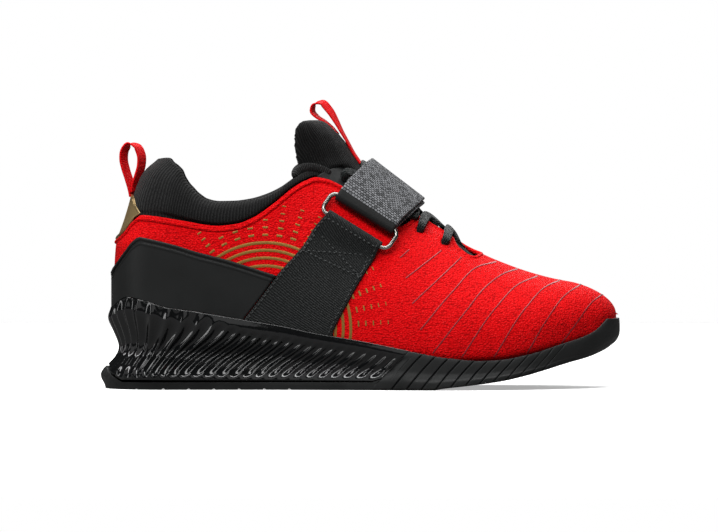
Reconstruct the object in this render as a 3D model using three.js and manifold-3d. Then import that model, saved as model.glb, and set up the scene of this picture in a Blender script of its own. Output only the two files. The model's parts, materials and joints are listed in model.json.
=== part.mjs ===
// A right-foot weightlifting shoe: a red knit upper on a raised glossy heel, closed by laces and one
// instep strap through a wire ring. Units are millimetres. X runs from heel to toe, Y to the wearer's
// left (the inner side of the foot), Z up from the floor. The shoe stands empty on its sole.
import * as THREE from 'three';
import Module from 'manifold-3d';
import { mergeVertices } from 'three/addons/utils/BufferGeometryUtils.js';

const wasm = await Module();
wasm.setup();

// Driving sizes
const SHOE_LENGTH = 292;
const BALL_WIDTH = 98;
const COLLAR_HEIGHT = 129;
const WALL = 1.6;
const GAP = 0.3;
const COUNTER_THICKNESS = 1.5;
const BASE_THICKNESS = 1.3;
const FACING_THICKNESS = 1.2;
const FACING_DEPTH = 19;
const RIB_PITCH = 6.5;
const RIB_DEPTH = 0.9;
const SLIT_PITCH = 7.7;
const SLIT_DEPTH = 1;
const LUG_GROOVE_DEPTH = 1.5;
const LUG_GROOVE_WIDTH = 1.8;
const INSOLE_THICKNESS = 4;
const COLLAR_PAD = 6.2;
const STRAP_WIDTH = 37.6;
const STRAP_THICKNESS = 1.5;
const WIRE = 2.6;
const RING_LENGTH = 46;
const RING_WIDTH = 16;
const RING_CORNER = 4;
const LACE_WIDTH = 5.6;
const LACE_THICKNESS = 1.9;
const EYELET_HOLE = 5;
const LOOP_RIBBON = 1.2;
const HEEL_LOOP_WIDTH = 10;
const TONGUE_LOOP_WIDTH = 9;
const HEEL_REST = 43;

// The last inside the upper. at: share of the shoe's length from the heel. Widths are shares of the
// ball width, heights shares of the collar height. The last starts and ends inside the sole's ends.
const LAST_HEEL = 0.0274 * SHOE_LENGTH;
const LAST_TOE = 0.9914 * SHOE_LENGTH;
const HEEL_ROUND = 0.113 * SHOE_LENGTH;
const TOE_ROUND = 0.1712 * SHOE_LENGTH;
const TOE_TOP_ROUND = 0.0942 * SHOE_LENGTH;
const LOW_POWER = 3.5;
const LAST_PLAN = [
  { at: 0, centre: 0, half: 0.3571 },
  { at: 0.137, centre: 0, half: 0.35 },
  { at: 0.25, centre: -0.0128, half: 0.349 },
  { at: 0.3493, centre: -0.0306, half: 0.3469 },
  { at: 0.4486, centre: -0.051, half: 0.3673 },
  { at: 0.5479, centre: -0.051, half: 0.4184 },
  { at: 0.6199, centre: -0.0332, half: 0.4612 },
  { at: 0.6986, centre: 0, half: 0.5 },
  { at: 0.7603, centre: 0.0255, half: 0.5 },
  { at: 0.8185, centre: 0.051, half: 0.4745 },
  { at: 0.8801, centre: 0.0816, half: 0.4204 },
  { at: 0.9301, centre: 0.098, half: 0.3755 },
  { at: 0.9932, centre: 0.1224, half: 0.3367 },
];
const LAST_SIDE = [
  { at: 0, bottom: 0.2791, widest: 0.3876 },
  { at: 0.137, bottom: 0.2597, widest: 0.3721 },
  { at: 0.274, bottom: 0.2171, widest: 0.3333 },
  { at: 0.411, bottom: 0.1628, widest: 0.2868 },
  { at: 0.5137, bottom: 0.1202, widest: 0.2481 },
  { at: 0.5993, bottom: 0.093, widest: 0.2171 },
  { at: 0.6849, bottom: 0.0814, widest: 0.1938 },
  { at: 0.7671, bottom: 0.093, widest: 0.1938 },
  { at: 0.8048, bottom: 0.1085, widest: 0.2054 },
  { at: 0.8527, bottom: 0.1357, widest: 0.2287 },
  { at: 0.9007, bottom: 0.1667, widest: 0.2558 },
  { at: 0.9521, bottom: 0.2016, widest: 0.2868 },
  { at: 0.9932, bottom: 0.2326, widest: 0.314 },
];
// The ridge line along the top: its height, how far it sits toward the inner side, and how full the
// section under it is (2 is an ellipse, less is more peaked).
const LAST_RIDGE = [
  { at: 0, height: 1.4109, across: 0, power: 2 },
  { at: 0.2055, height: 1.4109, across: 0, power: 2 },
  { at: 0.274, height: 1.3798, across: 0.0051, power: 2 },
  { at: 0.3425, height: 1.3023, across: 0.0102, power: 1.9 },
  { at: 0.3938, height: 1.186, across: 0.0184, power: 1.8 },
  { at: 0.4315, height: 1.093, across: 0.0235, power: 1.7 },
  { at: 0.4692, height: 1.0155, across: 0.0306, power: 1.7 },
  { at: 0.5, height: 0.9535, across: 0.0367, power: 1.7 },
  { at: 0.5308, height: 0.8953, across: 0.0429, power: 1.7 },
  { at: 0.5822, height: 0.8101, across: 0.0531, power: 1.75 },
  { at: 0.6336, height: 0.7287, across: 0.0653, power: 1.8 },
  { at: 0.6712, height: 0.6705, across: 0.0776, power: 1.9 },
  { at: 0.7021, height: 0.6202, across: 0.0847, power: 2 },
  { at: 0.7466, height: 0.569, across: 0.0959, power: 2.1 },
  { at: 0.7774, height: 0.5403, across: 0.1, power: 2.15 },
  { at: 0.8082, height: 0.5147, across: 0.102, power: 2.2 },
  { at: 0.839, height: 0.493, across: 0.1051, power: 2.25 },
  { at: 0.8699, height: 0.4752, across: 0.1102, power: 2.3 },
  { at: 0.9007, height: 0.462, across: 0.1143, power: 2.3 },
  { at: 0.9315, height: 0.4527, across: 0.1204, power: 2.3 },
  { at: 0.9932, height: 0.4419, across: 0.1327, power: 2.3 },
];
// How far forward the back of the heel leans at a height.
const HEEL_LEAN = [
  { up: 0, back: 0.0034 },
  { up: 0.2326, back: 0.0017 },
  { up: 0.3488, back: -0.0014 },
  { up: 0.5039, back: -0.0014 },
  { up: 0.6202, back: 0.0014 },
  { up: 0.6822, back: 0.012 },
  { up: 0.7364, back: 0.0205 },
  { up: 0.8295, back: 0.0325 },
  { up: 0.8915, back: 0.0394 },
  { up: 0.9302, back: 0.0479 },
  { up: 0.969, back: 0.0616 },
  { up: 1.0078, back: 0.0771 },
  { up: 1.124, back: 0.113 },
];
// Sole rim, and tread line with arch and toe spring.
const RIM = [
  { at: 0.0202, height: 0.3519 },
  { at: 0.05, height: 0.3992 },
  { at: 0.0942, height: 0.3798 },
  { at: 0.1229, height: 0.3581 },
  { at: 0.1904, height: 0.3357 },
  { at: 0.2702, height: 0.3054 },
  { at: 0.35, height: 0.2752 },
  { at: 0.4134, height: 0.245 },
  { at: 0.501, height: 0.2116 },
  { at: 0.5904, height: 0.1713 },
  { at: 0.6692, height: 0.1395 },
  { at: 0.7308, height: 0.1287 },
  { at: 0.7671, height: 0.1326 },
  { at: 0.8038, height: 0.1465 },
  { at: 0.8404, height: 0.1659 },
  { at: 0.8781, height: 0.1938 },
  { at: 0.9267, height: 0.2271 },
  { at: 0.9521, height: 0.255 },
  { at: 0.976, height: 0.3023 },
  { at: 0.9884, height: 0.3186 },
  { at: 0.9983, height: 0.314 },
];
const TREAD = [
  { at: 0, height: 0 },
  { at: 0.637, height: 0 },
  { at: 0.6575, height: 0.007 },
  { at: 0.7055, height: 0.0194 },
  { at: 0.7671, height: 0.038 },
  { at: 0.8038, height: 0.055 },
  { at: 0.8534, height: 0.0837 },
  { at: 0.9017, height: 0.114 },
  { at: 0.9521, height: 0.1419 },
  { at: 0.9829, height: 0.169 },
  { at: 0.9983, height: 0.1899 },
];
// How far the sole's side stands out from the last at a share of its height, at four places.
const WALL_PROFILE = [
  { up: 0, heel: 0.0327, mid: 0.0041, fore: 0.0122, toe: -0.0439 },
  { up: 0.06, heel: 0.0449, mid: 0.0092, fore: 0.0173, toe: -0.0286 },
  { up: 0.17, heel: 0.0694, mid: 0.0092, fore: 0.0184, toe: -0.0122 },
  { up: 0.29, heel: 0.0316, mid: 0.001, fore: 0.0163, toe: -0.0031 },
  { up: 0.33, heel: 0.0061, mid: -0.0041, fore: 0.0143, toe: 0 },
  { up: 0.5, heel: -0.0378, mid: -0.0184, fore: 0.0051, toe: 0.0031 },
  { up: 0.7, heel: -0.0061, mid: -0.0122, fore: 0.0051, toe: 0.002 },
  { up: 0.88, heel: 0.0276, mid: 0.002, fore: 0.0031, toe: -0.002 },
  { up: 1, heel: 0.0031, mid: -0.002, fore: -0.002, toe: -0.0102 },
];
const WALL_PLACES = [0.05, 0.38, 0.69, 0.975];
// Side-view lines, as pairs of share of length and share of collar height.
const TOPLINE = [
  [0.024, 0.6364], [0.0479, 0.6798], [0.0675, 0.7364], [0.0808, 0.7543], [0.1058, 0.7496],
  [0.1654, 0.7279], [0.2134, 0.7101], [0.225, 0.7085], [0.2616, 0.7171], [0.2921, 0.7426],
  [0.3308, 0.8016], [0.3692, 0.8713], [0.3921, 0.9016], [0.4134, 0.9178], [0.4325, 0.9109],
  [0.4596, 0.8845], [0.4966, 0.8178], [0.5342, 0.7519], [0.5582, 0.7171], [0.5753, 0.7078],
  [0.5925, 0.7233], [0.6027, 0.7426], [0.6154, 0.7488], [0.6301, 0.7287], [0.6473, 0.7008],
  [0.6596, 0.6899], [0.6705, 0.676], [0.6781, 0.6395], [0.6832, 0.6202], [0.6918, 0.6031],
  [0.7075, 0.5791], [0.7185, 0.5736], [0.7271, 0.5806], [0.739, 0.586],
];
const COUNTER_TOP = [
  [-0.0068, 0.4992], [0.0192, 0.5054], [0.0277, 0.538], [0.0473, 0.6], [0.063, 0.6442],
  [0.0771, 0.6628], [0.0904, 0.6574], [0.1257, 0.6395], [0.1521, 0.6233], [0.1846, 0.6],
  [0.2442, 0.5643], [0.339, 0.4961],
];
const BASE_REAR = [
  [0.4353, 0.7736], [0.425, 0.7558], [0.3914, 0.6318], [0.3384, 0.493], [0.3038, 0.3876],
  [0.2771, 0.3101],
];
const BASE_FRONT = [
  [0.4469, 0.2527], [0.464, 0.3302], [0.4774, 0.3853], [0.4897, 0.4364], [0.5116, 0.5186],
  [0.5336, 0.5969], [0.5373, 0.6302],
];
const FACING_TOP = [
  [0.4127, 0.8682], [0.4168, 0.9248], [0.426, 0.9403], [0.4366, 0.9504], [0.4486, 0.9612],
  [0.4606, 0.9628], [0.4726, 0.9581], [0.4932, 0.938], [0.5479, 0.8682], [0.6027, 0.7713],
  [0.6404, 0.7209], [0.6781, 0.6512],
];
const COLLAR_TOP = [
  { at: 0.0274, height: 1.0023 },
  { at: 0.0548, height: 1.0016 },
  { at: 0.0822, height: 0.9938 },
  { at: 0.1062, height: 0.969 },
  { at: 0.1267, height: 0.924 },
  { at: 0.1438, height: 0.8791 },
  { at: 0.1627, height: 0.8357 },
  { at: 0.1849, height: 0.8163 },
  { at: 0.2123, height: 0.8109 },
  { at: 0.2466, height: 0.8124 },
  { at: 0.2808, height: 0.8217 },
  { at: 0.3151, height: 0.8434 },
  { at: 0.3425, height: 0.8713 },
  { at: 0.363, height: 0.9023 },
  { at: 0.3836, height: 0.9364 },
  { at: 0.4007, height: 0.9566 },
  { at: 0.4144, height: 0.9612 },
  { at: 0.4349, height: 0.9488 },
];

// Small number helpers
const clamp = (v) => Math.min(1, Math.max(0, v));
const mix = (a, b, t) => a + (b - a) * t;
const smooth = (t) => clamp(t) * clamp(t) * (3 - 2 * clamp(t));
const endRound = (t, p) => (t >= 1 ? 1 : t <= 0 ? 0 : (1 - (1 - t) ** p) ** (1 / p));
const along = (s) => s * SHOE_LENGTH;
const up = (s) => s * COLLAR_HEIGHT;
const outline = (pairs) => pairs.map(([s, t]) => [along(s), up(t)]);

// A smooth curve through one column of a table, without overshoot.
function curve(rows, column, size, key = 'at', keySize = SHOE_LENGTH) {
  const x = rows.map((row) => row[key] * keySize);
  const y = rows.map((row) => row[column] * size);
  const last = x.length - 1;
  const slope = x.slice(1).map((v, i) => (y[i + 1] - y[i]) / (v - x[i]));
  const bend = x.map((v, i) => {
    const a = slope[Math.max(0, i - 1)];
    const b = slope[Math.min(last - 1, i)];
    return a * b <= 0 ? 0 : (2 * a * b) / (a + b);
  });
  return (v) => {
    if (v <= x[0]) return y[0];
    if (v >= x[last]) return y[last];
    const i = x.findIndex((u) => u > v) - 1;
    const w = x[i + 1] - x[i];
    const t = (v - x[i]) / w;
    const a = y[i] * (1 + 2 * t) * (1 - t) ** 2 + y[i + 1] * t * t * (3 - 2 * t);
    return a + w * (bend[i] * t * (1 - t) ** 2 - bend[i + 1] * t * t * (1 - t));
  };
}

const centreAt = curve(LAST_PLAN, 'centre', BALL_WIDTH);
const halfAt = curve(LAST_PLAN, 'half', BALL_WIDTH);
const bottomAt = curve(LAST_SIDE, 'bottom', COLLAR_HEIGHT);
const widestAt = curve(LAST_SIDE, 'widest', COLLAR_HEIGHT);
const ridgeAt = curve(LAST_RIDGE, 'height', COLLAR_HEIGHT);
const acrossAt = curve(LAST_RIDGE, 'across', BALL_WIDTH);
const powerAt = curve(LAST_RIDGE, 'power', 1);
const leanAt = curve(HEEL_LEAN, 'back', SHOE_LENGTH, 'up', COLLAR_HEIGHT);
const rimAt = curve(RIM, 'height', COLLAR_HEIGHT);
const treadAt = curve(TREAD, 'height', COLLAR_HEIGHT);
const collarTopAt = curve(COLLAR_TOP, 'height', COLLAR_HEIGHT);
const wallAt = ['heel', 'mid', 'fore', 'toe'].map((name) => curve(WALL_PROFILE, name, BALL_WIDTH, 'up', 1));

// Solids: closed meshes with shared corners, joined and cut.
function solid(positions, triangles) {
  const made = new wasm.Manifold(new wasm.Mesh({
    numProp: 3,
    vertProperties: new Float32Array(positions.flat()),
    triVerts: new Uint32Array(triangles.flat()),
  }));
  if (made.volume() > 0) return made;
  return solid(positions, triangles.map(([a, b, c]) => [a, c, b]));
}

// Rings of equal count, stacked. The ends close with a fan, or with strips between the two sides that
// run from ring point poles[0] to ring point poles[1].
function loft(rings, poles) {
  const n = rings[0].length;
  const positions = rings.flat();
  const triangles = [];
  for (let i = 0; i + 1 < rings.length; i += 1) {
    for (let j = 0; j < n; j += 1) {
      const a = i * n + j;
      const b = i * n + ((j + 1) % n);
      triangles.push([a, b, b + n], [a, b + n, a + n]);
    }
  }
  for (const [end, flip] of [[0, true], [rings.length - 1, false]]) {
    if (poles) {
      const step = (k) => end * n + ((poles[0] + k + n) % n);
      const down = (poles[1] - poles[0] + n) % n;
      const back = n - down;
      const add = (a, b, c) => triangles.push(flip ? [b, a, c] : [a, b, c]);
      let i = 0;
      let j = 0;
      while (i < down || j < back) {
        if (j * down <= i * back && j < back) {
          add(step(i), step(-j - 1), step(-j));
          j += 1;
        } else {
          add(step(i), step(i + 1), step(-j));
          i += 1;
        }
      }
      continue;
    }
    const ring = rings[end];
    const middle = [0, 1, 2].map((k) => ring.reduce((sum, p) => sum + p[k], 0) / n);
    const centre = positions.push(middle) - 1;
    for (let j = 0; j < n; j += 1) {
      const a = end * n + j;
      const b = end * n + ((j + 1) % n);
      triangles.push(flip ? [b, a, centre] : [a, b, centre]);
    }
  }
  return solid(positions, triangles);
}

// A flat outline pushed through its plane's normal: a side-view outline across Y, or a plan one up Z.
function pushed(points, from, to, sideView) {
  const shape = new THREE.Shape(points.map(([u, v]) => new THREE.Vector2(u, v)));
  const geometry = new THREE.ExtrudeGeometry(shape, { depth: to - from, bevelEnabled: false });
  if (sideView) {
    geometry.rotateX(Math.PI / 2);
    geometry.translate(0, to, 0);
  } else {
    geometry.translate(0, 0, from);
  }
  return fromGeometry(geometry);
}
const sideCut = (points, from = -90, to = 90) => pushed(points, from, to, true);
const planCut = (points, from = -20, to = 200) => pushed(points, from, to, false);

function fromGeometry(geometry) {
  geometry.deleteAttribute('normal');
  geometry.deleteAttribute('uv');
  const merged = mergeVertices(geometry, 1e-4);
  const p = merged.attributes.position;
  const positions = Array.from({ length: p.count }, (_, i) => [p.getX(i), p.getY(i), p.getZ(i)]);
  const triangles = [];
  for (let i = 0; i < merged.index.count; i += 3) {
    triangles.push([merged.index.getX(i), merged.index.getX(i + 1), merged.index.getX(i + 2)]);
  }
  return solid(positions, triangles);
}

// The last's surface, grown by a distance outward and by another below.
function section(x, grow, below = grow) {
  const heel = endRound((x - LAST_HEEL + grow) / (HEEL_ROUND + grow), 2.2);
  const toe = endRound((LAST_TOE + grow - x) / (TOE_ROUND + grow), 2.2);
  const toeTop = endRound((LAST_TOE + grow - x) / (TOE_TOP_ROUND + grow), 2.1);
  const slope = (ridgeAt(x + 2) - ridgeAt(x - 2)) / 4;
  const widest = widestAt(x);
  return {
    centre: centreAt(x),
    ridge: acrossAt(x),
    half: (halfAt(x) + grow) * heel * toe,
    widest,
    top: (ridgeAt(x) + grow * Math.hypot(1, slope) - widest) * toeTop,
    low: widest - bottomAt(x) + below,
    power: powerAt(x),
  };
}
const TOP_STEPS = [0, 0.12, 0.24, 0.34, 0.44, 0.56, 0.69, 0.81, 0.91, 0.975, 1];
const LOW_STEPS = [0.55, 0.88];
const STATIONS = 26;
const leanShift = (x, z) => leanAt(z) * (1 - smooth(x / along(0.38)));
// A point on the upper zone: side -1 outer, 1 inner; h from the widest line (0) to the ridge (1).
function topPoint(x, h, side, grow) {
  const s = section(x, grow);
  const z = s.widest + s.top * h;
  const y = mix(s.centre, s.ridge, h * h) + side * s.half * (1 - h ** s.power) ** (1 / s.power);
  return [x + leanShift(x, z), y, z];
}
// The same point from a height instead of a share.
function sidePoint(x, z, side, grow) {
  const s = section(x, grow);
  if (z >= s.widest) {
    const share = clamp((z - s.widest) / s.top);
    const k = Math.max(0, TOP_STEPS.findIndex((v) => v >= share) - 1);
    const low = topPoint(x, TOP_STEPS[k], side, grow);
    const high = topPoint(x, TOP_STEPS[k + 1], side, grow);
    const t = (share - TOP_STEPS[k]) / (TOP_STEPS[k + 1] - TOP_STEPS[k]);
    return low.map((v, i) => mix(v, high[i], t));
  }
  const h = clamp((s.widest - z) / s.low);
  return [x + leanShift(x, z), s.centre + side * s.half * (1 - h ** LOW_POWER) ** (1 / LOW_POWER), z];
}
function form(grow, below = grow) {
  const heel = LAST_HEEL - grow;
  const length = LAST_TOE + grow - heel;
  const rings = [];
  for (let i = 0; i <= STATIONS; i += 1) {
    const x = heel + (length * (1 - Math.cos(Math.PI * (0.02 + (0.96 * i) / STATIONS)))) / 2;
    const s = section(x, grow, below);
    const low = (h, side) => {
      const z = s.widest - s.low * h;
      return [x + leanShift(x, z), s.centre + side * s.half * (1 - h ** LOW_POWER) ** (1 / LOW_POWER), z];
    };
    rings.push([
      ...TOP_STEPS.map((h) => topPoint(x, h, -1, grow)),
      ...TOP_STEPS.slice(0, -1).reverse().map((h) => topPoint(x, h, 1, grow)),
      ...LOW_STEPS.map((h) => low(h, 1)),
      low(1, 1),
      ...LOW_STEPS.slice().reverse().map((h) => low(h, -1)),
    ]);
  }
  return loft(rings, [TOP_STEPS.length - 1, 2 * TOP_STEPS.length - 1 + LOW_STEPS.length]);
}
const shell = (outer, inner) => form(outer).subtract(form(inner, 12));

// Side-view lines that follow a function of x.
function line(at, from, to, lift = 0, steps = 24) {
  return Array.from({ length: steps + 1 }, (_, i) => {
    const x = mix(from, to, i / steps);
    return [x, at(x) + lift];
  });
}

// Upper: one hollow wall, open at the collar and throat and underneath.
const topline = outline(TOPLINE);
const aboveTopline = (lift) => sideCut([
  ...topline.map(([x, z]) => [x, z + lift]),
  [along(0.75), up(1.2)], [along(0.75), up(2)], [-40, up(2)], [-40, topline[0][1] + lift],
]);
const slotHalf = (x) => mix(9.5, 7.5, clamp((x - 150) / 50));
function slot(from, to, extra) {
  const xs = Array.from({ length: 12 }, (_, i) => mix(from, to, Math.sin((Math.PI * i) / 22)));
  const half = (x) => (slotHalf(x) + extra) * Math.sqrt(clamp(1 - ((x - to + 8) / 8) ** 2 * (x > to - 8 ? 1 : 0)));
  const far = xs.map((x) => [x, acrossAt(x) - half(x)]);
  const near = xs.map((x) => [x, acrossAt(x) + half(x) + 0.01]).reverse();
  return planCut([...far, ...near]);
}
const EYELETS = [
  { x: 192.9, z: 81.9 },
  { x: 179, z: 88.9 },
  { x: 165, z: 98.5 },
  { x: 151, z: 108.6 },
  { x: 137, z: 119 },
].map(({ x, z }) => ({ x: along(x / 292), z: up(z / 129) }));
function frameAt(x, z, side, grow) {
  const p = new THREE.Vector3(...sidePoint(x, z, side, grow));
  const alongX = new THREE.Vector3(...sidePoint(x + 1, z, side, grow)).sub(p);
  const upZ = new THREE.Vector3(...sidePoint(x, z + 1, side, grow)).sub(p);
  const normal = alongX.cross(upZ).normalize();
  if (normal.y * side < 0) normal.negate();
  return { p, normal, rise: upZ.normalize() };
}
// A round pin through the wall at an eyelet.
function pin(x, z, side, radius) {
  const { p, normal } = frameAt(x, z, side, 0);
  const geometry = new THREE.CylinderGeometry(radius, radius, 12, 10);
  geometry.applyQuaternion(new THREE.Quaternion().setFromUnitVectors(new THREE.Vector3(0, 1, 0), normal));
  geometry.translate(p.x, p.y, p.z);
  return fromGeometry(geometry);
}
const pins = (list, radius) => list.flatMap(({ x, z }) => [pin(x, z, -1, radius), pin(x, z, 1, radius)]);
const belowLast = sideCut([...line(bottomAt, -20, along(1.03), 3), [along(1.1), -30], [-20, -30]]);
let upper = shell(0, -WALL).subtract(aboveTopline(0)).subtract(slot(along(0.41), along(0.731), 0));
upper = upper.subtract(belowLast);
for (const hole of pins(EYELETS.slice(0, 2), EYELET_HOLE / 2)) upper = upper.subtract(hole);

// Facings: two bands under the throat's edges that carry the eyelets.
const facingTop = outline(FACING_TOP);
function facing(side) {
  const from = along(0.412);
  const to = along(0.678);
  const xs = Array.from({ length: 6 }, (_, i) => mix(from, to, i / 5));
  const inner = xs.map((x) => [x, acrossAt(x) + side * (slotHalf(x) - 0.2)]);
  const outer = xs.map((x) => [x, acrossAt(x) + side * mix(30, 17, clamp((x - from) / 40))]).reverse();
  const below = [...facingTop, ...facingTop.slice().reverse().map(([x, z]) => [x - 2, z - FACING_DEPTH])];
  let band = form(-WALL - GAP).subtract(form(-WALL - GAP - FACING_THICKNESS));
  band = band.intersect(planCut([...inner, ...outer])).intersect(sideCut(below));
  for (const { x, z } of EYELETS) band = band.subtract(pin(x, z, side, EYELET_HOLE / 2));
  return band;
}

// Overlays on the outside of the upper: heel counter and the strap's two bases.
const baseRear = outline(BASE_REAR);
const baseFront = outline(BASE_FRONT);
const counterTop = outline(COUNTER_TOP);
const floorLine = (from, to) => line(rimAt, from, to, GAP + 0.5, 22);
const counterFront = [[along(0.273), up(0.31)], [along(0.298), up(0.384)]];
const counterOutline = [
  ...counterTop,
  ...counterFront.slice().reverse(),
  ...floorLine(along(0.02), along(0.27)).reverse(),
  [-along(0.01), rimAt(along(0.02)) + GAP + 0.2],
];
const overlay = (grow, thick) => form(GAP + grow + thick).subtract(form(GAP + grow));
const counter = overlay(0, COUNTER_THICKNESS).intersect(sideCut(counterOutline));

// Wire ring at the outer side, lying along the ridge direction on its base.
const ringRear = frameAt(along(0.4363), up(0.7589), -1, 3.6);
const ringFront = frameAt(along(0.5356), up(0.6202), -1, 3.6);
const ringMiddle = frameAt(along(0.486), up(0.6899), -1, 3.6);
const ringLong = ringFront.p.clone().sub(ringRear.p).normalize();
const ringOut = ringMiddle.normal.clone();
ringOut.addScaledVector(ringLong, -ringOut.dot(ringLong)).normalize();
const ringUp = ringLong.clone().cross(ringOut);
if (ringUp.z < 0) ringUp.negate();
const lowerBar = ringRear.p.clone().add(ringFront.p).multiplyScalar(0.5);
const barLift = Math.max(0, ringMiddle.p.clone().sub(lowerBar).dot(ringOut));
lowerBar.addScaledVector(ringOut, barLift);
const upperBar = lowerBar.clone().addScaledVector(ringUp, RING_WIDTH - WIRE);

class RoundedLoop extends THREE.Curve {
  constructor(centre, axisU, axisV, halfU, halfV, corner) {
    super();
    Object.assign(this, { centre, axisU, axisV, halfU, halfV, corner });
  }
  getPoint(t, target = new THREE.Vector3()) {
    const { halfU: a, halfV: b, corner: r } = this;
    const straightU = 2 * (a - r);
    const straightV = 2 * (b - r);
    const arc = (Math.PI * r) / 2;
    const runs = [straightU, arc, straightV, arc, straightU, arc, straightV, arc];
    let left = (t % 1) * runs.reduce((sum, v) => sum + v, 0);
    let k = 0;
    while (k < 7 && left > runs[k]) {
      left -= runs[k];
      k += 1;
    }
    const corners = [[a - r, -b + r], [a - r, b - r], [-a + r, b - r], [-a + r, -b + r]];
    const turn = Math.floor(k / 2);
    let u;
    let v;
    if (k % 2 === 1) {
      const angle = -Math.PI / 2 + turn * (Math.PI / 2) + left / r;
      u = corners[turn][0] + r * Math.cos(angle);
      v = corners[turn][1] + r * Math.sin(angle);
    } else {
      const starts = [[-a + r, -b, 1, 0], [a, -b + r, 0, 1], [a - r, b, -1, 0], [-a, b - r, 0, -1]];
      u = starts[turn][0] + starts[turn][2] * left;
      v = starts[turn][1] + starts[turn][3] * left;
    }
    return target.copy(this.centre).addScaledVector(this.axisU, u).addScaledVector(this.axisV, v);
  }
}
// A closed tube of round wire along a flat loop.
function wireLoop(loop, axisOut, radius, steps, sides) {
  const rings = [];
  for (let i = 0; i < steps; i += 1) {
    const p = loop.getPoint(i / steps);
    const q = loop.getPoint((i + 0.01) / steps);
    const inward = q.sub(p).normalize().cross(axisOut).normalize();
    rings.push(Array.from({ length: sides }, (_, j) => {
      const angle = (2 * Math.PI * j) / sides;
      return p.clone().addScaledVector(inward, radius * Math.cos(angle))
        .addScaledVector(axisOut, radius * Math.sin(angle)).toArray();
    }));
  }
  const positions = rings.flat();
  const triangles = [];
  for (let i = 0; i < steps; i += 1) {
    for (let j = 0; j < sides; j += 1) {
      const a = i * sides + j;
      const b = i * sides + ((j + 1) % sides);
      const c = ((i + 1) % steps) * sides + j;
      const d = ((i + 1) % steps) * sides + ((j + 1) % sides);
      triangles.push([a, b, d], [a, d, c]);
    }
  }
  return solid(positions, triangles);
}
const ringCentre = lowerBar.clone().add(upperBar).multiplyScalar(0.5);
const ringLoop = new RoundedLoop(
  ringCentre, ringLong, ringUp, (RING_LENGTH - WIRE) / 2, (RING_WIDTH - WIRE) / 2, RING_CORNER);
const ring = wireLoop(ringLoop, ringOut, WIRE / 2, 32, 6);

// The base's sleeve: a tube around the ring's lower bar, joined to the base.
function rod(centre, axis, length, radius, sides) {
  const geometry = new THREE.CylinderGeometry(radius, radius, length, sides);
  geometry.applyQuaternion(new THREE.Quaternion().setFromUnitVectors(new THREE.Vector3(0, 1, 0), axis));
  geometry.translate(centre.x, centre.y, centre.z);
  return fromGeometry(geometry);
}
const SLEEVE_LENGTH = RING_LENGTH - 2 * RING_CORNER - WIRE - 1;
const sleeveHole = WIRE / 2 + GAP + 0.1;
const baseOutline = [
  ...baseRear,
  ...floorLine(baseRear.at(-1)[0], baseFront[0][0]).slice(1, -1),
  ...baseFront,
];
const basePanel = (side) => overlay(0, BASE_THICKNESS)
  .intersect(sideCut(baseOutline, side < 0 ? -90 : 0, side < 0 ? 0 : 90));
const strapBaseOuter = basePanel(-1)
  .add(rod(lowerBar, ringLong, SLEEVE_LENGTH, sleeveHole + 1.2, 14))
  .subtract(rod(lowerBar, ringLong, RING_LENGTH + 10, sleeveHole, 14));
const strapBaseInner = basePanel(1);

// Strap: one ribbon from the inner side over the instep, around the ring's upper bar and back over itself.
const ribbon = (stations, width, thick) => loft(stations.map(({ p, wide, out }) => {
  const corner = (u, v) => p.clone().addScaledVector(wide, u * width).addScaledVector(out, v * thick).toArray();
  return [corner(-0.5, -0.5), corner(0, -0.5), corner(0.5, -0.5), corner(0.5, 0.5), corner(0, 0.5), corner(-0.5, 0.5)];
}));
const ridgeWide = new THREE.Vector3(0.795, 0, -0.606);
const innerWide = new THREE.Vector3(ringLong.x, -ringLong.y, ringLong.z);
const strapRear = along(0.571) - upperBar.x;
function strapPoint(h, side, grow) {
  const start = clamp((upperBar.z - widestAt(upperBar.x)) / (ridgeAt(upperBar.x) + 8 - widestAt(upperBar.x)));
  const t = clamp((h - start) / (1 - start));
  const x = upperBar.x + strapRear * t - (h < start ? (start - h) * 25 : 0);
  const wide = (side < 0 ? ringLong : innerWide).clone().lerp(ridgeWide, smooth(t)).normalize();
  return { p: new THREE.Vector3(...topPoint(x, h, side, grow)), wide };
}
const turnRadius = WIRE / 2 + GAP + 0.1 + STRAP_THICKNESS / 2;
const path = [];
const LAYER_ONE = [
  [0.5, 1, 3.8], [0.6, 1, 4], [0.7, 1, 4.8], [0.8, 1, 6], [0.88, 1, 6.7], [0.945, 1, 6.7], [0.985, 1, 6.5], [1, 1, 6.5],
  [0.985, -1, 6.5], [0.945, -1, 6.7], [0.89, -1, 6.6],
];
const LAYER_TWO = [
  [0.89, -1, 8.7], [0.945, -1, 8.7], [0.985, -1, 8.5], [1, 1, 8.5], [0.985, 1, 8.5], [0.945, 1, 8.7], [0.88, 1, 8.7],
  [0.8, 1, 7.6], [0.7, 1, 6.7], [0.62, 1, 6.1],
];
for (const [h, side, grow] of LAYER_ONE) path.push(strapPoint(h, side, grow));
for (let i = 0; i <= 6; i += 1) {
  const angle = (Math.PI * i) / 6;
  const p = upperBar.clone().addScaledVector(ringOut, -turnRadius * Math.cos(angle))
    .addScaledVector(ringUp, -turnRadius * Math.sin(angle));
  path.push({ p, wide: ringLong.clone() });
}
for (const [h, side, grow] of LAYER_TWO) path.push(strapPoint(h, side, grow));
path.forEach((station, i) => {
  const before = path[Math.max(0, i - 1)].p;
  const after = path[Math.min(path.length - 1, i + 1)].p;
  const way = after.clone().sub(before).normalize();
  station.wide.addScaledVector(way, -station.wide.dot(way)).normalize();
  station.out = way.clone().cross(station.wide).normalize();
});
const strap = ribbon(path, STRAP_WIDTH, STRAP_THICKNESS);

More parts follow.
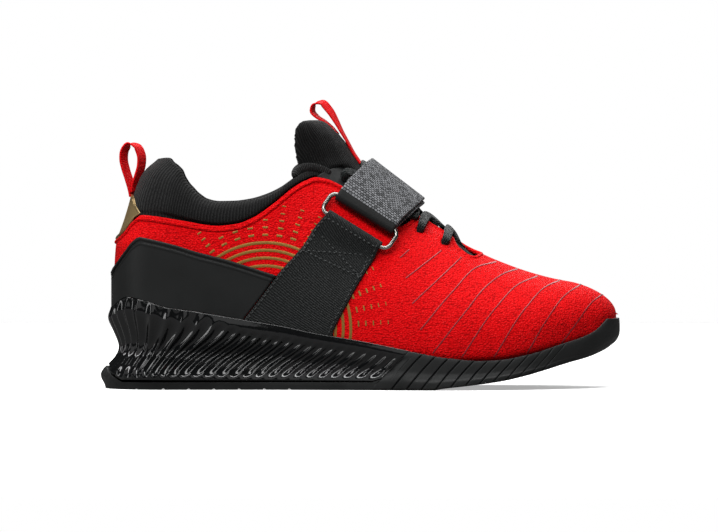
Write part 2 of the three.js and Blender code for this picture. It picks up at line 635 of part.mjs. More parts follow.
// Laces: flat crossings over the throat, joined where they meet at the eyelets.
function laceRun(points) {
  const smoothPath = new THREE.CatmullRomCurve3(points.map(({ p }) => p));
  const steps = 5;
  const rings = [];
  for (let i = 0; i <= steps; i += 1) {
    const t = i / steps;
    const p = smoothPath.getPoint(t);
    const way = smoothPath.getTangent(t);
    const a = points[Math.min(points.length - 1, Math.floor(t * (points.length - 1)))];
    const b = points[Math.min(points.length - 1, Math.floor(t * (points.length - 1)) + 1)];
    const out = a.out.clone().lerp(b.out, t * (points.length - 1) - Math.floor(t * (points.length - 1))).normalize();
    const wide = way.clone().cross(out).normalize();
    const lift = wide.clone().cross(way).normalize();
    rings.push(Array.from({ length: 6 }, (_, j) => {
      const angle = (2 * Math.PI * j) / 6;
      return p.clone().addScaledVector(wide, (LACE_WIDTH / 2) * Math.cos(angle))
        .addScaledVector(lift, (LACE_THICKNESS / 2) * 1.1 * Math.sin(angle)).toArray();
    }));
  }
  return loft(rings);
}
function lacePoint(x, z, side, grow) {
  const { p, normal } = frameAt(x, z, side, grow);
  return { p, out: normal };
}
function ridgePoint(x, grow) {
  const p = new THREE.Vector3(...topPoint(x, 1, 1, grow));
  const slope = (ridgeAt(x + 2) - ridgeAt(x - 2)) / 4;
  return { p, out: new THREE.Vector3(-slope, 0, 1).normalize() };
}
const overTongue = (x) => 1.3 * smooth((along(0.575) - x) / along(0.035));
function crossing(from, to, side) {
  const middle = (from.x + to.x) / 2;
  const shoulder = (e, s, t) => {
    const x = mix(e.x, middle, t);
    const sec = section(x, 0);
    const h0 = (e.z - sec.widest) / sec.top;
    return lacePoint(x, sec.widest + sec.top * mix(h0, 0.985, 0.75), s, 2.2 + overTongue(x));
  };
  return laceRun([
    lacePoint(from.x, from.z, side, 1.8),
    shoulder(from, side, 0.5),
    ridgePoint(middle, 2.5 + overTongue(middle)),
    shoulder(to, -side, 0.5),
    lacePoint(to.x, to.z, -side, 1.8),
  ]);
}
let laces = laceRun([
  lacePoint(EYELETS[0].x, EYELETS[0].z, -1, 2.4),
  lacePoint(EYELETS[0].x + 4, EYELETS[0].z + 2.2, -1, 2.4),
  ridgePoint(EYELETS[0].x + 7, 1.9),
  lacePoint(EYELETS[0].x + 4, EYELETS[0].z + 2.2, 1, 2.4),
  lacePoint(EYELETS[0].x, EYELETS[0].z, 1, 2.4),
]);
for (let i = 0; i + 2 < EYELETS.length; i += 1) {
  laces = laces.add(crossing(EYELETS[i], EYELETS[i + 1], -1)).add(crossing(EYELETS[i + 1], EYELETS[i], -1));
}

// Collar: a padded roll swept around the ankle opening, tucked inside the upper below its topline.
const toplineAt = curve(TOPLINE.map(([at, height]) => ({ at, height })), 'height', COLLAR_HEIGHT);
const COLLAR_FRONT = along(0.4315);
const COLLAR_STEPS = 36;
function collarRing(sigma, extra) {
  const side = sigma < 0 ? -1 : 1;
  const share = 1 - Math.cos((Math.abs(sigma) * Math.PI) / 2);
  const end = Math.abs(sigma) > 0.999 ? 0.35 : 0;
  const start = LAST_HEEL + 3;
  const xTop = mix(start, COLLAR_FRONT, share);
  const top = collarTopAt(xTop) + extra;
  const edge = toplineAt(Math.max(xTop, along(0.09)));
  const tuck = WALL + 2 * GAP + 2 * smooth((xTop - along(0.385)) / along(0.02));
  const proud = mix(0.9, -0.8, smooth((along(0.13) - xTop) / along(0.05))) - 4 * smooth((xTop - along(0.38)) / along(0.03));
  const rise = Math.max(6, top - edge);
  const pad = COLLAR_PAD;
  const deep = edge - 13;
  const rows = [
    [deep, -tuck - 1.5], [edge - 7, -tuck], [edge + 0.3, -tuck], [edge + 0.3 + rise * 0.12, mix(-tuck, proud, 0.8)],
    [edge + rise * 0.4, proud], [edge + rise * 0.75, proud - 0.7], [top - 1, proud - 2.4], [top, -pad * 0.62],
    [top - 1.2, -pad * 1.02], [edge + rise * 0.7, -pad * 1.22], [edge, -pad * 1.3], [edge - 8, -pad * 1.15],
    [deep - 1, -pad * 0.8],
  ];
  const points = rows.map(([z, d], k) => {
    const grow = d + (k < 7 ? extra : -extra);
    const x = LAST_HEEL - grow + (xTop - start) * ((COLLAR_FRONT - LAST_HEEL + grow) / (COLLAR_FRONT - start)) + 0.02;
    return sidePoint(x, z, side, grow);
  });
  const middle = [0, 1, 2].map((k) => points.reduce((sum, p) => sum + p[k], 0) / points.length);
  return points.map((p) => p.map((v, k) => mix(v, middle[k], end)));
}
function collarRoll(extra) {
  return loft(Array.from({ length: COLLAR_STEPS + 1 }, (_, i) => collarRing((2 * i) / COLLAR_STEPS - 1, extra)));
}
const collar = collarRoll(0);

// Tongue: a padded slab under the throat that rises above it and curves around the shin.
const TONGUE = [
  { at: 219, height: 67.6, lean: 70, half: 11, sag: 2.5, thick: 2.6 },
  { at: 209, height: 74.4, lean: 65, half: 15, sag: 5.5, thick: 4.3 },
  { at: 196, height: 85.2, lean: 57, half: 18, sag: 8, thick: 5 },
  { at: 183, height: 95, lean: 54, half: 19, sag: 9.5, thick: 5.5 },
  { at: 165, height: 108.2, lean: 52, half: 19, sag: 11.5, thick: 6 },
  { at: 153, height: 118.4, lean: 46, half: 18.5, sag: 14, thick: 6.5 },
  { at: 146, height: 126.2, lean: 28, half: 19, sag: 22, thick: 7 },
  { at: 142, height: 131.7, lean: 13, half: 21, sag: 28, thick: 8 },
  { at: 138.4, height: 136.8, lean: 5, half: 24, sag: 25.5, thick: 8.5 },
  { at: 134, height: 142.2, lean: 0, half: 26, sag: 20.5, thick: 9 },
  { at: 130.3, height: 146, lean: 0, half: 26.5, sag: 16.5, thick: 8.5 },
  { at: 127, height: 148.8, lean: 0, half: 25.5, sag: 12.5, thick: 6.5 },
  { at: 124, height: 150.3, lean: 0, half: 23.5, sag: 9, thick: 3 },
].map((row) => ({ ...row, at: row.at / 292, height: row.height / 129 }));
const tongueRings = TONGUE.map(({ at, height, lean, half, sag, thick }) => {
  const x = along(at);
  const z = up(height);
  const angle = THREE.MathUtils.degToRad(lean);
  const middle = acrossAt(Math.max(x, along(0.45)));
  const place = (u, depth, spread) => {
    const drop = sag * Math.abs(u) ** 2.2 + depth;
    return [x - drop * Math.cos(angle), middle + u * half * spread, z - drop * Math.sin(angle)];
  };
  const us = [-1, -0.8, -0.55, -0.28, 0, 0.28, 0.55, 0.8, 1];
  const outer = us.map((u) => place(u, Math.abs(u) > 0.99 ? thick * 0.3 : 0, 1));
  const inner = us.slice().reverse().map((u) => place(u, thick * (1 - 0.35 * u * u), 0.94));
  return [...outer, ...inner];
});
let tongue = loft(tongueRings);
const clear = -WALL - GAP - FACING_THICKNESS - GAP;
const underFacings = sideCut([
  ...facingTop.map(([x, z]) => [x, z + 2 * GAP]), [along(0.7), up(0.3)], [along(0.405), up(0.3)],
]);
const openSlot = slot(along(0.3), along(0.728), -GAP);
const upperZone = form(14).subtract(form(-WALL - GAP)).subtract(aboveTopline(2 * GAP)).subtract(openSlot);
const facingZone = form(14).subtract(form(clear)).intersect(underFacings).subtract(openSlot);
tongue = tongue.subtract(upperZone).subtract(facingZone);
for (const ahead of [0, 1.5]) tongue = tongue.subtract(collarRoll(2 * GAP).translate([ahead, 0, 0]));

// Loops of ribbon at the heel and on the tongue.
function ribbonLoop(points, wide, width, thick) {
  const curve3 = new THREE.CatmullRomCurve3(points.map(([x, y, z]) => new THREE.Vector3(x, y, z)));
  const steps = 24;
  const stations = Array.from({ length: steps + 1 }, (_, i) => {
    const p = curve3.getPoint(i / steps);
    const way = curve3.getTangent(i / steps);
    const w = wide.clone().addScaledVector(way, -wide.dot(way)).normalize();
    return { p, wide: w, out: way.clone().cross(w).normalize() };
  });
  return loft(stations.map(({ p, wide: w, out }) => [[-1, -1], [1, -1], [1, 1], [-1, 1]].map(([u, v]) =>
    p.clone().addScaledVector(w, (u * width) / 2).addScaledVector(out, (v * thick) / 2).toArray())));
}
const HEEL_LOOP_LINE = [
  [16.6, 109.6], [14.6, 114], [12.2, 121], [11.2, 128], [12.6, 134.4], [16.2, 137.8], [20.6, 136], [23.2, 131], [22.6, 125],
  [19.2, 119.4], [17, 114], [16.9, 111.9],
];
const heelLoop = ribbonLoop(
  HEEL_LOOP_LINE.map(([x, z]) => [along(x / 292), 0, up(z / 129)]),
  new THREE.Vector3(0.42, 0.91, 0), HEEL_LOOP_WIDTH, LOOP_RIBBON);
const TONGUE_LOOP_LINE = [
  [146.7, 126.9], [142.8, 132.7], [139.1, 138.5], [134.9, 143.6], [130.6, 152], [126, 158.2], [121, 160.6], [117.7, 158.2],
  [118.2, 154.6], [121.6, 151.6],
];
const tongueLoop = ribbonLoop(
  TONGUE_LOOP_LINE.map(([x, z]) => [along(x / 292), acrossAt(along(0.45)), up(z / 129)]),
  new THREE.Vector3(0, 1, 0), TONGUE_LOOP_WIDTH, LOOP_RIBBON);

// Heel tab: a thin metallic strip up the back, between the topline and the loop.
const TAB_OUTLINE = [
  [4, 83.2], [7.9, 83.2], [14, 88.9], [19.6, 96.2], [23, 98.4], [19.8, 103], [18.4, 107], [16.5, 108.4], [4, 108.4],
];
const heelTab = form(1.2).subtract(form(0)).intersect(
  sideCut(TAB_OUTLINE.map(([x, z]) => [along(x / 292), up(z / 129)])));

// Insole: a slab on the sole's bed, inside the upper's wall.
const bedLine = line(bottomAt, -5, along(1.02), INSOLE_THICKNESS);
const insole = form(-WALL - 2 * GAP - 0.1, -GAP).intersect(sideCut([...bedLine, [along(1.05), -30], [-5, -30]]));

// Sole: an outline around the last, walls built column by column with slanted ribs and slits.
const SOLE_MARGIN = 1.8;
function outlineSide(side) {
  const heel = LAST_HEEL - SOLE_MARGIN;
  const toe = LAST_TOE + SOLE_MARGIN;
  const points = [];
  for (let i = 0; i <= 240; i += 1) {
    const x = heel + ((toe - heel) * (1 - Math.cos((Math.PI * i) / 240))) / 2;
    const s = section(x, SOLE_MARGIN);
    points.push(new THREE.Vector2(x, s.centre + side * s.half));
  }
  return points;
}
const aroundOuter = outlineSide(-1);
const aroundInner = outlineSide(1);
const around = [...aroundInner.slice().reverse(), ...aroundOuter.slice(1)];
const runs = [0];
for (let i = 1; i < around.length; i += 1) runs.push(runs[i - 1] + around[i].distanceTo(around[i - 1]));
const heelRun = runs[aroundInner.length - 1];
function at(run) {
  const r = Math.min(runs.at(-1) - 0.01, Math.max(0.01, run + heelRun));
  const i = runs.findIndex((v) => v > r) - 1;
  const p = around[i].clone().lerp(around[i + 1], (r - runs[i]) / (runs[i + 1] - runs[i]));
  const a = around[Math.max(0, i - 2)];
  const b = around[Math.min(around.length - 1, i + 3)];
  const way = b.clone().sub(a).normalize();
  return { x: p.x, y: p.y, nx: way.y, ny: -way.x };
}
const SPLIT = along(0.575);
const SLITS_END = along(0.88);
const slant = (x) => 0.8 * smooth((x - along(0.02)) / along(0.2)) * (1 - smooth((x - along(0.86)) / along(0.08)));
function columnRuns(total, sign) {
  const list = [];
  const scale = total / (runs.at(-1) - heelRun);
  let run = RIB_PITCH / 4;
  let k = 0;
  while (at(sign * run * scale).x < SPLIT) {
    list.push({ run: sign * run * scale, depth: k % 2 ? RIB_DEPTH : 0, kind: 'rib' });
    run += RIB_PITCH / 2;
    k += 1;
  }
  while (at(sign * run * scale).x < SLITS_END) {
    list.push({ run: sign * run * scale, depth: 0, kind: 'slit' });
    list.push({ run: sign * (run + 0.5) * scale, depth: SLIT_DEPTH, kind: 'slit' });
    list.push({ run: sign * (run + 1) * scale, depth: 0, kind: 'slit' });
    run += SLIT_PITCH;
  }
  const end = total / scale - 3;
  const left = 8;
  for (let i = 0; i < left; i += 1) {
    list.push({ run: sign * mix(run, end, i / (left - 1)) * scale, depth: 0, kind: 'toe' });
  }
  return list;
}
const outerColumns = columnRuns(runs.at(-1) - heelRun, 1);
const innerRaw = columnRuns(heelRun, -1);
const innerColumns = outerColumns.map((column, i) => innerRaw[i] ?? { ...column, run: -column.run });
const UPS = [0, 0.17, 0.3, 0.5, 0.88, 1];
function wallPoint({ run, depth, kind }, rise) {
  const base = at(run);
  const sign = run < 0 ? -1 : 1;
  const height = rimAt(base.x) * rise;
  const shift = slant(base.x) * (height - rimAt(base.x) * 0.5);
  const moved = at(run + sign * shift);
  const z = mix(treadAt(moved.x), rimAt(moved.x), rise);
  const places = WALL_PLACES.map(along);
  let k = 0;
  while (k < 2 && moved.x > places[k + 1]) k += 1;
  const share = smooth((moved.x - places[k]) / (places[k + 1] - places[k]));
  const out = mix(wallAt[k](rise), wallAt[k + 1](rise), share);
  const fade = kind === 'rib' ? clamp((rise - 0.3) / 0.1) * clamp((1 - rise) / 0.1) : clamp((0.95 - rise) / 0.1);
  const o = out - depth * fade;
  return [moved.x + moved.nx * o, moved.y + moved.ny * o, z];
}
function soleBody() {
  const columns = [...outerColumns, ...innerColumns.slice().reverse()];
  const n = columns.length;
  const m = outerColumns.length;
  const positions = UPS.flatMap((rise) => columns.map((column) => wallPoint(column, rise)));
  const triangles = [];
  for (let r = 0; r + 1 < UPS.length; r += 1) {
    for (let i = 0; i < n; i += 1) {
      const a = r * n + i;
      const b = r * n + ((i + 1) % n);
      triangles.push([a, b, b + n], [a, b + n, a + n]);
    }
  }
  const top = (UPS.length - 1) * n;
  for (let i = 0; i + 1 < m; i += 1) {
    const l0 = i;
    const l1 = i + 1;
    const r0 = n - 1 - i;
    const r1 = n - 2 - i;
    triangles.push([l0, r0, r1], [l0, r1, l1]);
    triangles.push([top + l0, top + r1, top + r0], [top + l0, top + l1, top + r1]);
  }
  return solid(positions, triangles);
}
const LUG_GROOVES = [22, 36, 50, 64, 78, 92, 106];
let soleWhole = soleBody().subtract(form(GAP));
for (const x of LUG_GROOVES) {
  const c = along(x / 292);
  const w = LUG_GROOVE_WIDTH / 2;
  soleWhole = soleWhole.subtract(sideCut([[c - w, -2], [c + w, -2], [c + w * 0.6, LUG_GROOVE_DEPTH], [c - w * 0.6, LUG_GROOVE_DEPTH]]));
}
const SEAM = [[-20, 13.4], [3.4, 13.4], [6.5, 8], [12, 4.7], [152, 4.7], [157, 6.3], [172.7, 22], [190, 39.3]];
const seam = SEAM.map(([x, z]) => [along(x / 292), up(z / 129)]);
const shifted = (distance) => seam.map(([x, z], i) => {
  const a = seam[Math.max(0, i - 1)];
  const b = seam[Math.min(seam.length - 1, i + 1)];
  const before = new THREE.Vector2(x - a[0], z - a[1]).normalize();
  const way = new THREE.Vector2(b[0] - x, b[1] - z).normalize().add(before).normalize();
  return [x - way.y * distance, z + way.x * distance];
});
const midsole = soleWhole.intersect(sideCut([...shifted(GAP / 2 + 0.02), [along(0.65), up(1)], [-20, up(1)]]));
const outsole = soleWhole.intersect(sideCut([...shifted(-GAP / 2 - 0.02), [along(1.1), up(1)], [along(1.1), -20], [-20, -20]]));

// The named pieces with their own materials
function look(color, roughness, metalness = 0) {
  return new THREE.MeshStandardMaterial({ color, roughness, metalness });
}
function piece(name, body, material) {
  const mesh = body.getMesh();
  const geometry = new THREE.BufferGeometry();
  const positions = new Float32Array(mesh.numVert * 3);
  for (let i = 0; i < mesh.numVert; i += 1) {
    for (let k = 0; k < 3; k += 1) positions[i * 3 + k] = mesh.vertProperties[i * mesh.numProp + k];
  }
  geometry.setAttribute('position', new THREE.BufferAttribute(positions, 3));
  geometry.setIndex(new THREE.BufferAttribute(new Uint32Array(mesh.triVerts), 1));
  geometry.computeVertexNormals();
  const named = new THREE.Mesh(geometry, material);
  named.name = name;
  return named;
}
const shoe = new THREE.Group();
shoe.add(piece('outsole', outsole, look('#1b1b1c', 0.75)));
shoe.add(piece('midsole', midsole, look('#141416', 0.25)));
shoe.add(piece('upper', upper, look('#c8141c', 0.9)));
shoe.add(piece('insole', insole, look('#222224', 0.95)));
shoe.add(piece('tongue', tongue, look('#1d1d1f', 0.95)));
shoe.add(piece('collar', collar, look('#232325', 0.95)));
shoe.add(piece('facing_outer', facing(-1), look('#1a1a1b', 0.5)));
shoe.add(piece('facing_inner', facing(1), look('#1a1a1b', 0.5)));
shoe.add(piece('heel_counter', counter, look('#161617', 0.45)));
shoe.add(piece('strap_base_outer', strapBaseOuter, look('#1c1c1e', 0.5)));
shoe.add(piece('strap_base_inner', strapBaseInner, look('#1c1c1e', 0.5)));
shoe.add(piece('strap_ring', ring, look('#c9c9cc', 0.2, 1)));
shoe.add(piece('strap', strap, look('#77787a', 0.9)));
shoe.add(piece('laces', laces, look('#18181a', 0.9)));
shoe.add(piece('heel_loop', heelLoop, look('#d4181f', 0.85)));
shoe.add(piece('tongue_loop', tongueLoop, look('#d4181f', 0.85)));
shoe.add(piece('heel_tab', heelTab, look('#b8923f', 0.35, 0.6)));
shoe.position.x = -HEEL_REST;

export default shoe;
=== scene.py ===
import json
import math

import bmesh
import bpy
import numpy as np
from mathutils import Matrix, Vector

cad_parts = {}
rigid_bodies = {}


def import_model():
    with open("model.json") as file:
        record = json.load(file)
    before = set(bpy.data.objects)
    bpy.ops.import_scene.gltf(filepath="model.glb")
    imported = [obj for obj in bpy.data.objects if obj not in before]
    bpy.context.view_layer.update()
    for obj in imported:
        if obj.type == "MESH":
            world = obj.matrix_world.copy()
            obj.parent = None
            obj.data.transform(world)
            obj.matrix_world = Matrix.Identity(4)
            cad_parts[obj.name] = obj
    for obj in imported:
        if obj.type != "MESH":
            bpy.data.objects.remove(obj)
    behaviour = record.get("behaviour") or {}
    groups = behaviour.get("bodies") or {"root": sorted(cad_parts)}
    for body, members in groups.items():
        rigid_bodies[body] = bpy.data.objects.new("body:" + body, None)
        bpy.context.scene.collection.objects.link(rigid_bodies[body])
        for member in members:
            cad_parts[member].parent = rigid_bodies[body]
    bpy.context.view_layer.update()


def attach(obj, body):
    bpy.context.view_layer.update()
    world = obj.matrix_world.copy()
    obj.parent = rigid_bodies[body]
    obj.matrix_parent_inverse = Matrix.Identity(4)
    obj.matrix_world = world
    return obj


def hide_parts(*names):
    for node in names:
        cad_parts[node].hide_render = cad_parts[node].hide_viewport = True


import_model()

# Sizes in millimetres. X runs from the back of the heel, as in the part's own tables.
SHOE_LENGTH = 292.0
BALL_WIDTH = 98.0
COLLAR_HEIGHT = 129.0
HEEL_REST = 43.0
WALL = 1.6
GAP = 0.3
COUNTER_THICKNESS = 1.5
BASE_THICKNESS = 1.3
FACING_THICKNESS = 1.2
FACING_DEPTH = 19.0
RIB_PITCH = 6.5
SLIT_PITCH = 7.7
COLLAR_PAD = 6.2
STRAP_WIDTH = 37.6
STRAP_THICKNESS = 1.5
WIRE = 2.6
RING_LENGTH = 46.0
RING_WIDTH = 16.0
RING_CORNER = 4.0
LACE_WIDTH = 6.0
LACE_THICKNESS = 1.9
INSOLE_THICKNESS = 4.0
EYELET_HOLE = 5.0
HEEL_LOOP_WIDTH = 10.0
TONGUE_LOOP_WIDTH = 9.0
LAST_HEEL = 0.0274 * SHOE_LENGTH
LAST_TOE = 0.9914 * SHOE_LENGTH
HEEL_ROUND = 0.113 * SHOE_LENGTH
TOE_ROUND = 0.1712 * SHOE_LENGTH
TOE_TOP_ROUND = 0.0942 * SHOE_LENGTH
LOW_POWER = 3.5
END_POWER = 2.2
TOE_TOP_POWER = 2.1
LEAN_END = 0.38 * SHOE_LENGTH


# Shape tables: shares of the shoe's length, ball width and collar height
def table(names, *rows):
    return {name: np.array(column) for name, column in zip(names.split(), zip(*rows))}


LAST_PLAN = table(
    "at centre half",
    (0, 0, 0.3571), (0.137, 0, 0.35), (0.25, -0.0128, 0.349), (0.3493, -0.0306, 0.3469),
    (0.4486, -0.051, 0.3673), (0.5479, -0.051, 0.4184), (0.6199, -0.0332, 0.4612), (0.6986, 0, 0.5),
    (0.7603, 0.0255, 0.5), (0.8185, 0.051, 0.4745), (0.8801, 0.0816, 0.4204), (0.9301, 0.098, 0.3755),
    (0.9932, 0.1224, 0.3367),
)
LAST_SIDE = table(
    "at bottom widest",
    (0, 0.2791, 0.3876), (0.137, 0.2597, 0.3721), (0.274, 0.2171, 0.3333), (0.411, 0.1628, 0.2868),
    (0.5137, 0.1202, 0.2481), (0.5993, 0.093, 0.2171), (0.6849, 0.0814, 0.1938), (0.7671, 0.093, 0.1938),
    (0.8048, 0.1085, 0.2054), (0.8527, 0.1357, 0.2287), (0.9007, 0.1667, 0.2558), (0.9521, 0.2016, 0.2868),
    (0.9932, 0.2326, 0.314),
)
LAST_RIDGE = table(
    "at height across power",
    (0, 1.4109, 0, 2), (0.2055, 1.4109, 0, 2), (0.274, 1.3798, 0.0051, 2), (0.3425, 1.3023, 0.0102, 1.9),
    (0.3938, 1.186, 0.0184, 1.8), (0.4315, 1.093, 0.0235, 1.7), (0.4692, 1.0155, 0.0306, 1.7),
    (0.5, 0.9535, 0.0367, 1.7), (0.5308, 0.8953, 0.0429, 1.7), (0.5822, 0.8101, 0.0531, 1.75),
    (0.6336, 0.7287, 0.0653, 1.8), (0.6712, 0.6705, 0.0776, 1.9), (0.7021, 0.6202, 0.0847, 2),
    (0.7466, 0.569, 0.0959, 2.1), (0.7774, 0.5403, 0.1, 2.15), (0.8082, 0.5147, 0.102, 2.2),
    (0.839, 0.493, 0.1051, 2.25), (0.8699, 0.4752, 0.1102, 2.3), (0.9007, 0.462, 0.1143, 2.3),
    (0.9315, 0.4527, 0.1204, 2.3), (0.9932, 0.4419, 0.1327, 2.3),
)
HEEL_LEAN = table(
    "up back",
    (0, 0.0034), (0.2326, 0.0017), (0.3488, -0.0014), (0.5039, -0.0014), (0.6202, 0.0014), (0.6822, 0.012),
    (0.7364, 0.0205), (0.8295, 0.0325), (0.8915, 0.0394), (0.9302, 0.0479), (0.969, 0.0616),
    (1.0078, 0.0771), (1.124, 0.113),
)
RIM = table(
    "at height",
    (0.0202, 0.3519), (0.05, 0.3992), (0.0942, 0.3798), (0.1229, 0.3581), (0.1904, 0.3357),
    (0.2702, 0.3054), (0.35, 0.2752), (0.4134, 0.245), (0.501, 0.2116), (0.5904, 0.1713),
    (0.6692, 0.1395), (0.7308, 0.1287), (0.7671, 0.1326), (0.8038, 0.1465), (0.8404, 0.1659),
    (0.8781, 0.1938), (0.9267, 0.2271), (0.9521, 0.255), (0.976, 0.3023), (0.9884, 0.3186),
    (0.9983, 0.314),
)
TREAD = table(
    "at height",
    (0, 0), (0.637, 0), (0.6575, 0.007), (0.7055, 0.0194), (0.7671, 0.038), (0.8038, 0.055),
    (0.8534, 0.0837), (0.9017, 0.114), (0.9521, 0.1419), (0.9829, 0.169), (0.9983, 0.1899),
)
WALL_PROFILE = table(
    "up heel mid fore toe",
    (0, 0.0327, 0.0041, 0.0122, -0.0439), (0.06, 0.0449, 0.0092, 0.0173, -0.0286),
    (0.17, 0.0694, 0.0092, 0.0184, -0.0122), (0.29, 0.0316, 0.001, 0.0163, -0.0031),
    (0.33, 0.0061, -0.0041, 0.0143, 0), (0.5, -0.0378, -0.0184, 0.0051, 0.0031),
    (0.7, -0.0061, -0.0122, 0.0051, 0.002), (0.88, 0.0276, 0.002, 0.0031, -0.002),
    (1, 0.0031, -0.002, -0.002, -0.0102),
)
WALL_PLACES = (0.05, 0.38, 0.69, 0.975)
TOPLINE = table(
    "at height",
    (0.024, 0.6364), (0.0479, 0.6798), (0.0675, 0.7364), (0.0808, 0.7543), (0.1058, 0.7496),
    (0.1654, 0.7279), (0.2134, 0.7101), (0.225, 0.7085), (0.2616, 0.7171), (0.2921, 0.7426),
    (0.3308, 0.8016), (0.3692, 0.8713), (0.3921, 0.9016), (0.4134, 0.9178), (0.4325, 0.9109),
    (0.4596, 0.8845), (0.4966, 0.8178), (0.5342, 0.7519), (0.5582, 0.7171), (0.5753, 0.7078),
    (0.5925, 0.7233), (0.6027, 0.7426), (0.6154, 0.7488), (0.6301, 0.7287), (0.6473, 0.7008),
    (0.6596, 0.6899), (0.6705, 0.676), (0.6781, 0.6395), (0.6832, 0.6202), (0.6918, 0.6031),
    (0.7075, 0.5791), (0.7185, 0.5736), (0.7271, 0.5806), (0.739, 0.586),
)
COUNTER_TOP = table(
    "at height",
    (-0.0068, 0.4992), (0.0192, 0.5054), (0.0277, 0.538), (0.0473, 0.6), (0.063, 0.6442),
    (0.0771, 0.6628), (0.0904, 0.6574), (0.1257, 0.6395), (0.1521, 0.6233), (0.1846, 0.6),
    (0.2442, 0.5643), (0.339, 0.4961),
)
BASE_REAR = table(
    "up at",
    (0.3101, 0.2771), (0.3876, 0.3038), (0.493, 0.3384), (0.6318, 0.3914), (0.7558, 0.425), (0.7736, 0.4353),
)
BASE_FRONT = table(
    "up at",
    (0.2527, 0.4469), (0.3302, 0.464), (0.3853, 0.4774), (0.4364, 0.4897), (0.5186, 0.5116),
    (0.5969, 0.5336), (0.6302, 0.5373),
)
FACING_TOP = table(
    "at height",
    (0.4127, 0.8682), (0.4168, 0.9248), (0.426, 0.9403), (0.4366, 0.9504), (0.4486, 0.9612),
    (0.4606, 0.9628), (0.4726, 0.9581), (0.4932, 0.938), (0.5479, 0.8682), (0.6027, 0.7713),
    (0.6404, 0.7209), (0.6781, 0.6512),
)
COLLAR_TOP = table(
    "at height",
    (0.0274, 1.0023), (0.0548, 1.0016), (0.0822, 0.9938), (0.1062, 0.969), (0.1267, 0.924),
    (0.1438, 0.8791), (0.1627, 0.8357), (0.1849, 0.8163), (0.2123, 0.8109), (0.2466, 0.8124),
    (0.2808, 0.8217), (0.3151, 0.8434), (0.3425, 0.8713), (0.363, 0.9023), (0.3836, 0.9364),
    (0.4007, 0.9566), (0.4144, 0.9612), (0.4349, 0.9488),
)
SEAM = ((-20, 13.4), (3.4, 13.4), (6.5, 8), (12, 4.7), (152, 4.7), (157, 6.3), (172.7, 22), (190, 39.3))
LUG_GROOVES = (22, 36, 50, 64, 78, 92, 106)
EYELETS = ((192.9, 81.9), (179, 88.9), (165, 98.5), (151, 108.6), (137, 119))


# Small number helpers, for arrays
def mix(a, b, t):
    return a + (b - a) * t


def clamp(v):
    return np.clip(v, 0.0, 1.0)


def smooth(t):
    t = clamp(t)
    return t * t * (3 - 2 * t)


def end_round(t, power):
    t = clamp(t)
    return (1 - (1 - t) ** power) ** (1 / power)


def bead(v, height, middle, half, power=2):
    """A raised line around the middle; a higher power gives it steeper sides."""
    return height * np.exp(-((v - middle) / half) ** power)


def unit(v):
    return v / np.maximum(np.linalg.norm(v, axis=-1, keepdims=True), 1e-9)


def stack(parts):
    return np.stack(np.broadcast_arrays(*parts), -1)


def lookup(rows, v):
    """Straight lines through the points of a short table."""
    return np.interp(v, *zip(*rows))


def halve(low, high, steps, under):
    """Halves a range again and again, down to the place where under stops being true."""
    for _ in range(steps):
        middle = (low + high) / 2
        below = under(middle)
        low = np.where(below, middle, low)
        high = np.where(below, high, middle)
    return (low + high) / 2


def blend_rows(rows, bend, i, width, t):
    """A smooth curve from row i to the next, with the slopes given in bend."""
    main = rows[i] * (1 + 2 * t) * (1 - t) ** 2 + rows[i + 1] * t * t * (3 - 2 * t)
    return main + width * (bend[i] * t * (1 - t) ** 2 - bend[i + 1] * t * t * (1 - t))


def curve(rows, column, size, key="at", key_size=SHOE_LENGTH):
    """A smooth curve through one column of a table, without overshoot."""
    x = rows[key] * key_size
    y = rows[column] * size
    slope = np.diff(y) / np.diff(x)
    a = np.concatenate((slope[:1], slope))
    b = np.concatenate((slope, slope[-1:]))
    bend = np.where(a * b > 0, 2 * a * b / np.where(a + b == 0, 1, a + b), 0)

    def at(v):
        v = np.clip(v, x[0], x[-1])
        i = np.clip(np.searchsorted(x, v, side="right") - 1, 0, len(x) - 2)
        w = x[i + 1] - x[i]
        return blend_rows(y, bend, i, w, (v - x[i]) / w)

    return at


centre_at = curve(LAST_PLAN, "centre", BALL_WIDTH)
half_at = curve(LAST_PLAN, "half", BALL_WIDTH)
bottom_at = curve(LAST_SIDE, "bottom", COLLAR_HEIGHT)
widest_at = curve(LAST_SIDE, "widest", COLLAR_HEIGHT)
ridge_at = curve(LAST_RIDGE, "height", COLLAR_HEIGHT)
across_at = curve(LAST_RIDGE, "across", BALL_WIDTH)
power_at = curve(LAST_RIDGE, "power", 1)
lean_at = curve(HEEL_LEAN, "back", SHOE_LENGTH, "up", COLLAR_HEIGHT)
rim_at = curve(RIM, "height", COLLAR_HEIGHT)
tread_at = curve(TREAD, "height", COLLAR_HEIGHT)
topline_at = curve(TOPLINE, "height", COLLAR_HEIGHT)
counter_top_at = curve(COUNTER_TOP, "height", COLLAR_HEIGHT)
facing_top_at = curve(FACING_TOP, "height", COLLAR_HEIGHT)
collar_top_at = curve(COLLAR_TOP, "height", COLLAR_HEIGHT)
base_rear_at = curve(BASE_REAR, "at", SHOE_LENGTH, "up", COLLAR_HEIGHT)
base_front_at = curve(BASE_FRONT, "at", SHOE_LENGTH, "up", COLLAR_HEIGHT)
wall_at = [curve(WALL_PROFILE, name, BALL_WIDTH, "up", 1) for name in ("heel", "mid", "fore", "toe")]


def along(share):
    return share * SHOE_LENGTH


def ridge_slope(x):
    return (ridge_at(x + 2) - ridge_at(x - 2)) / 4


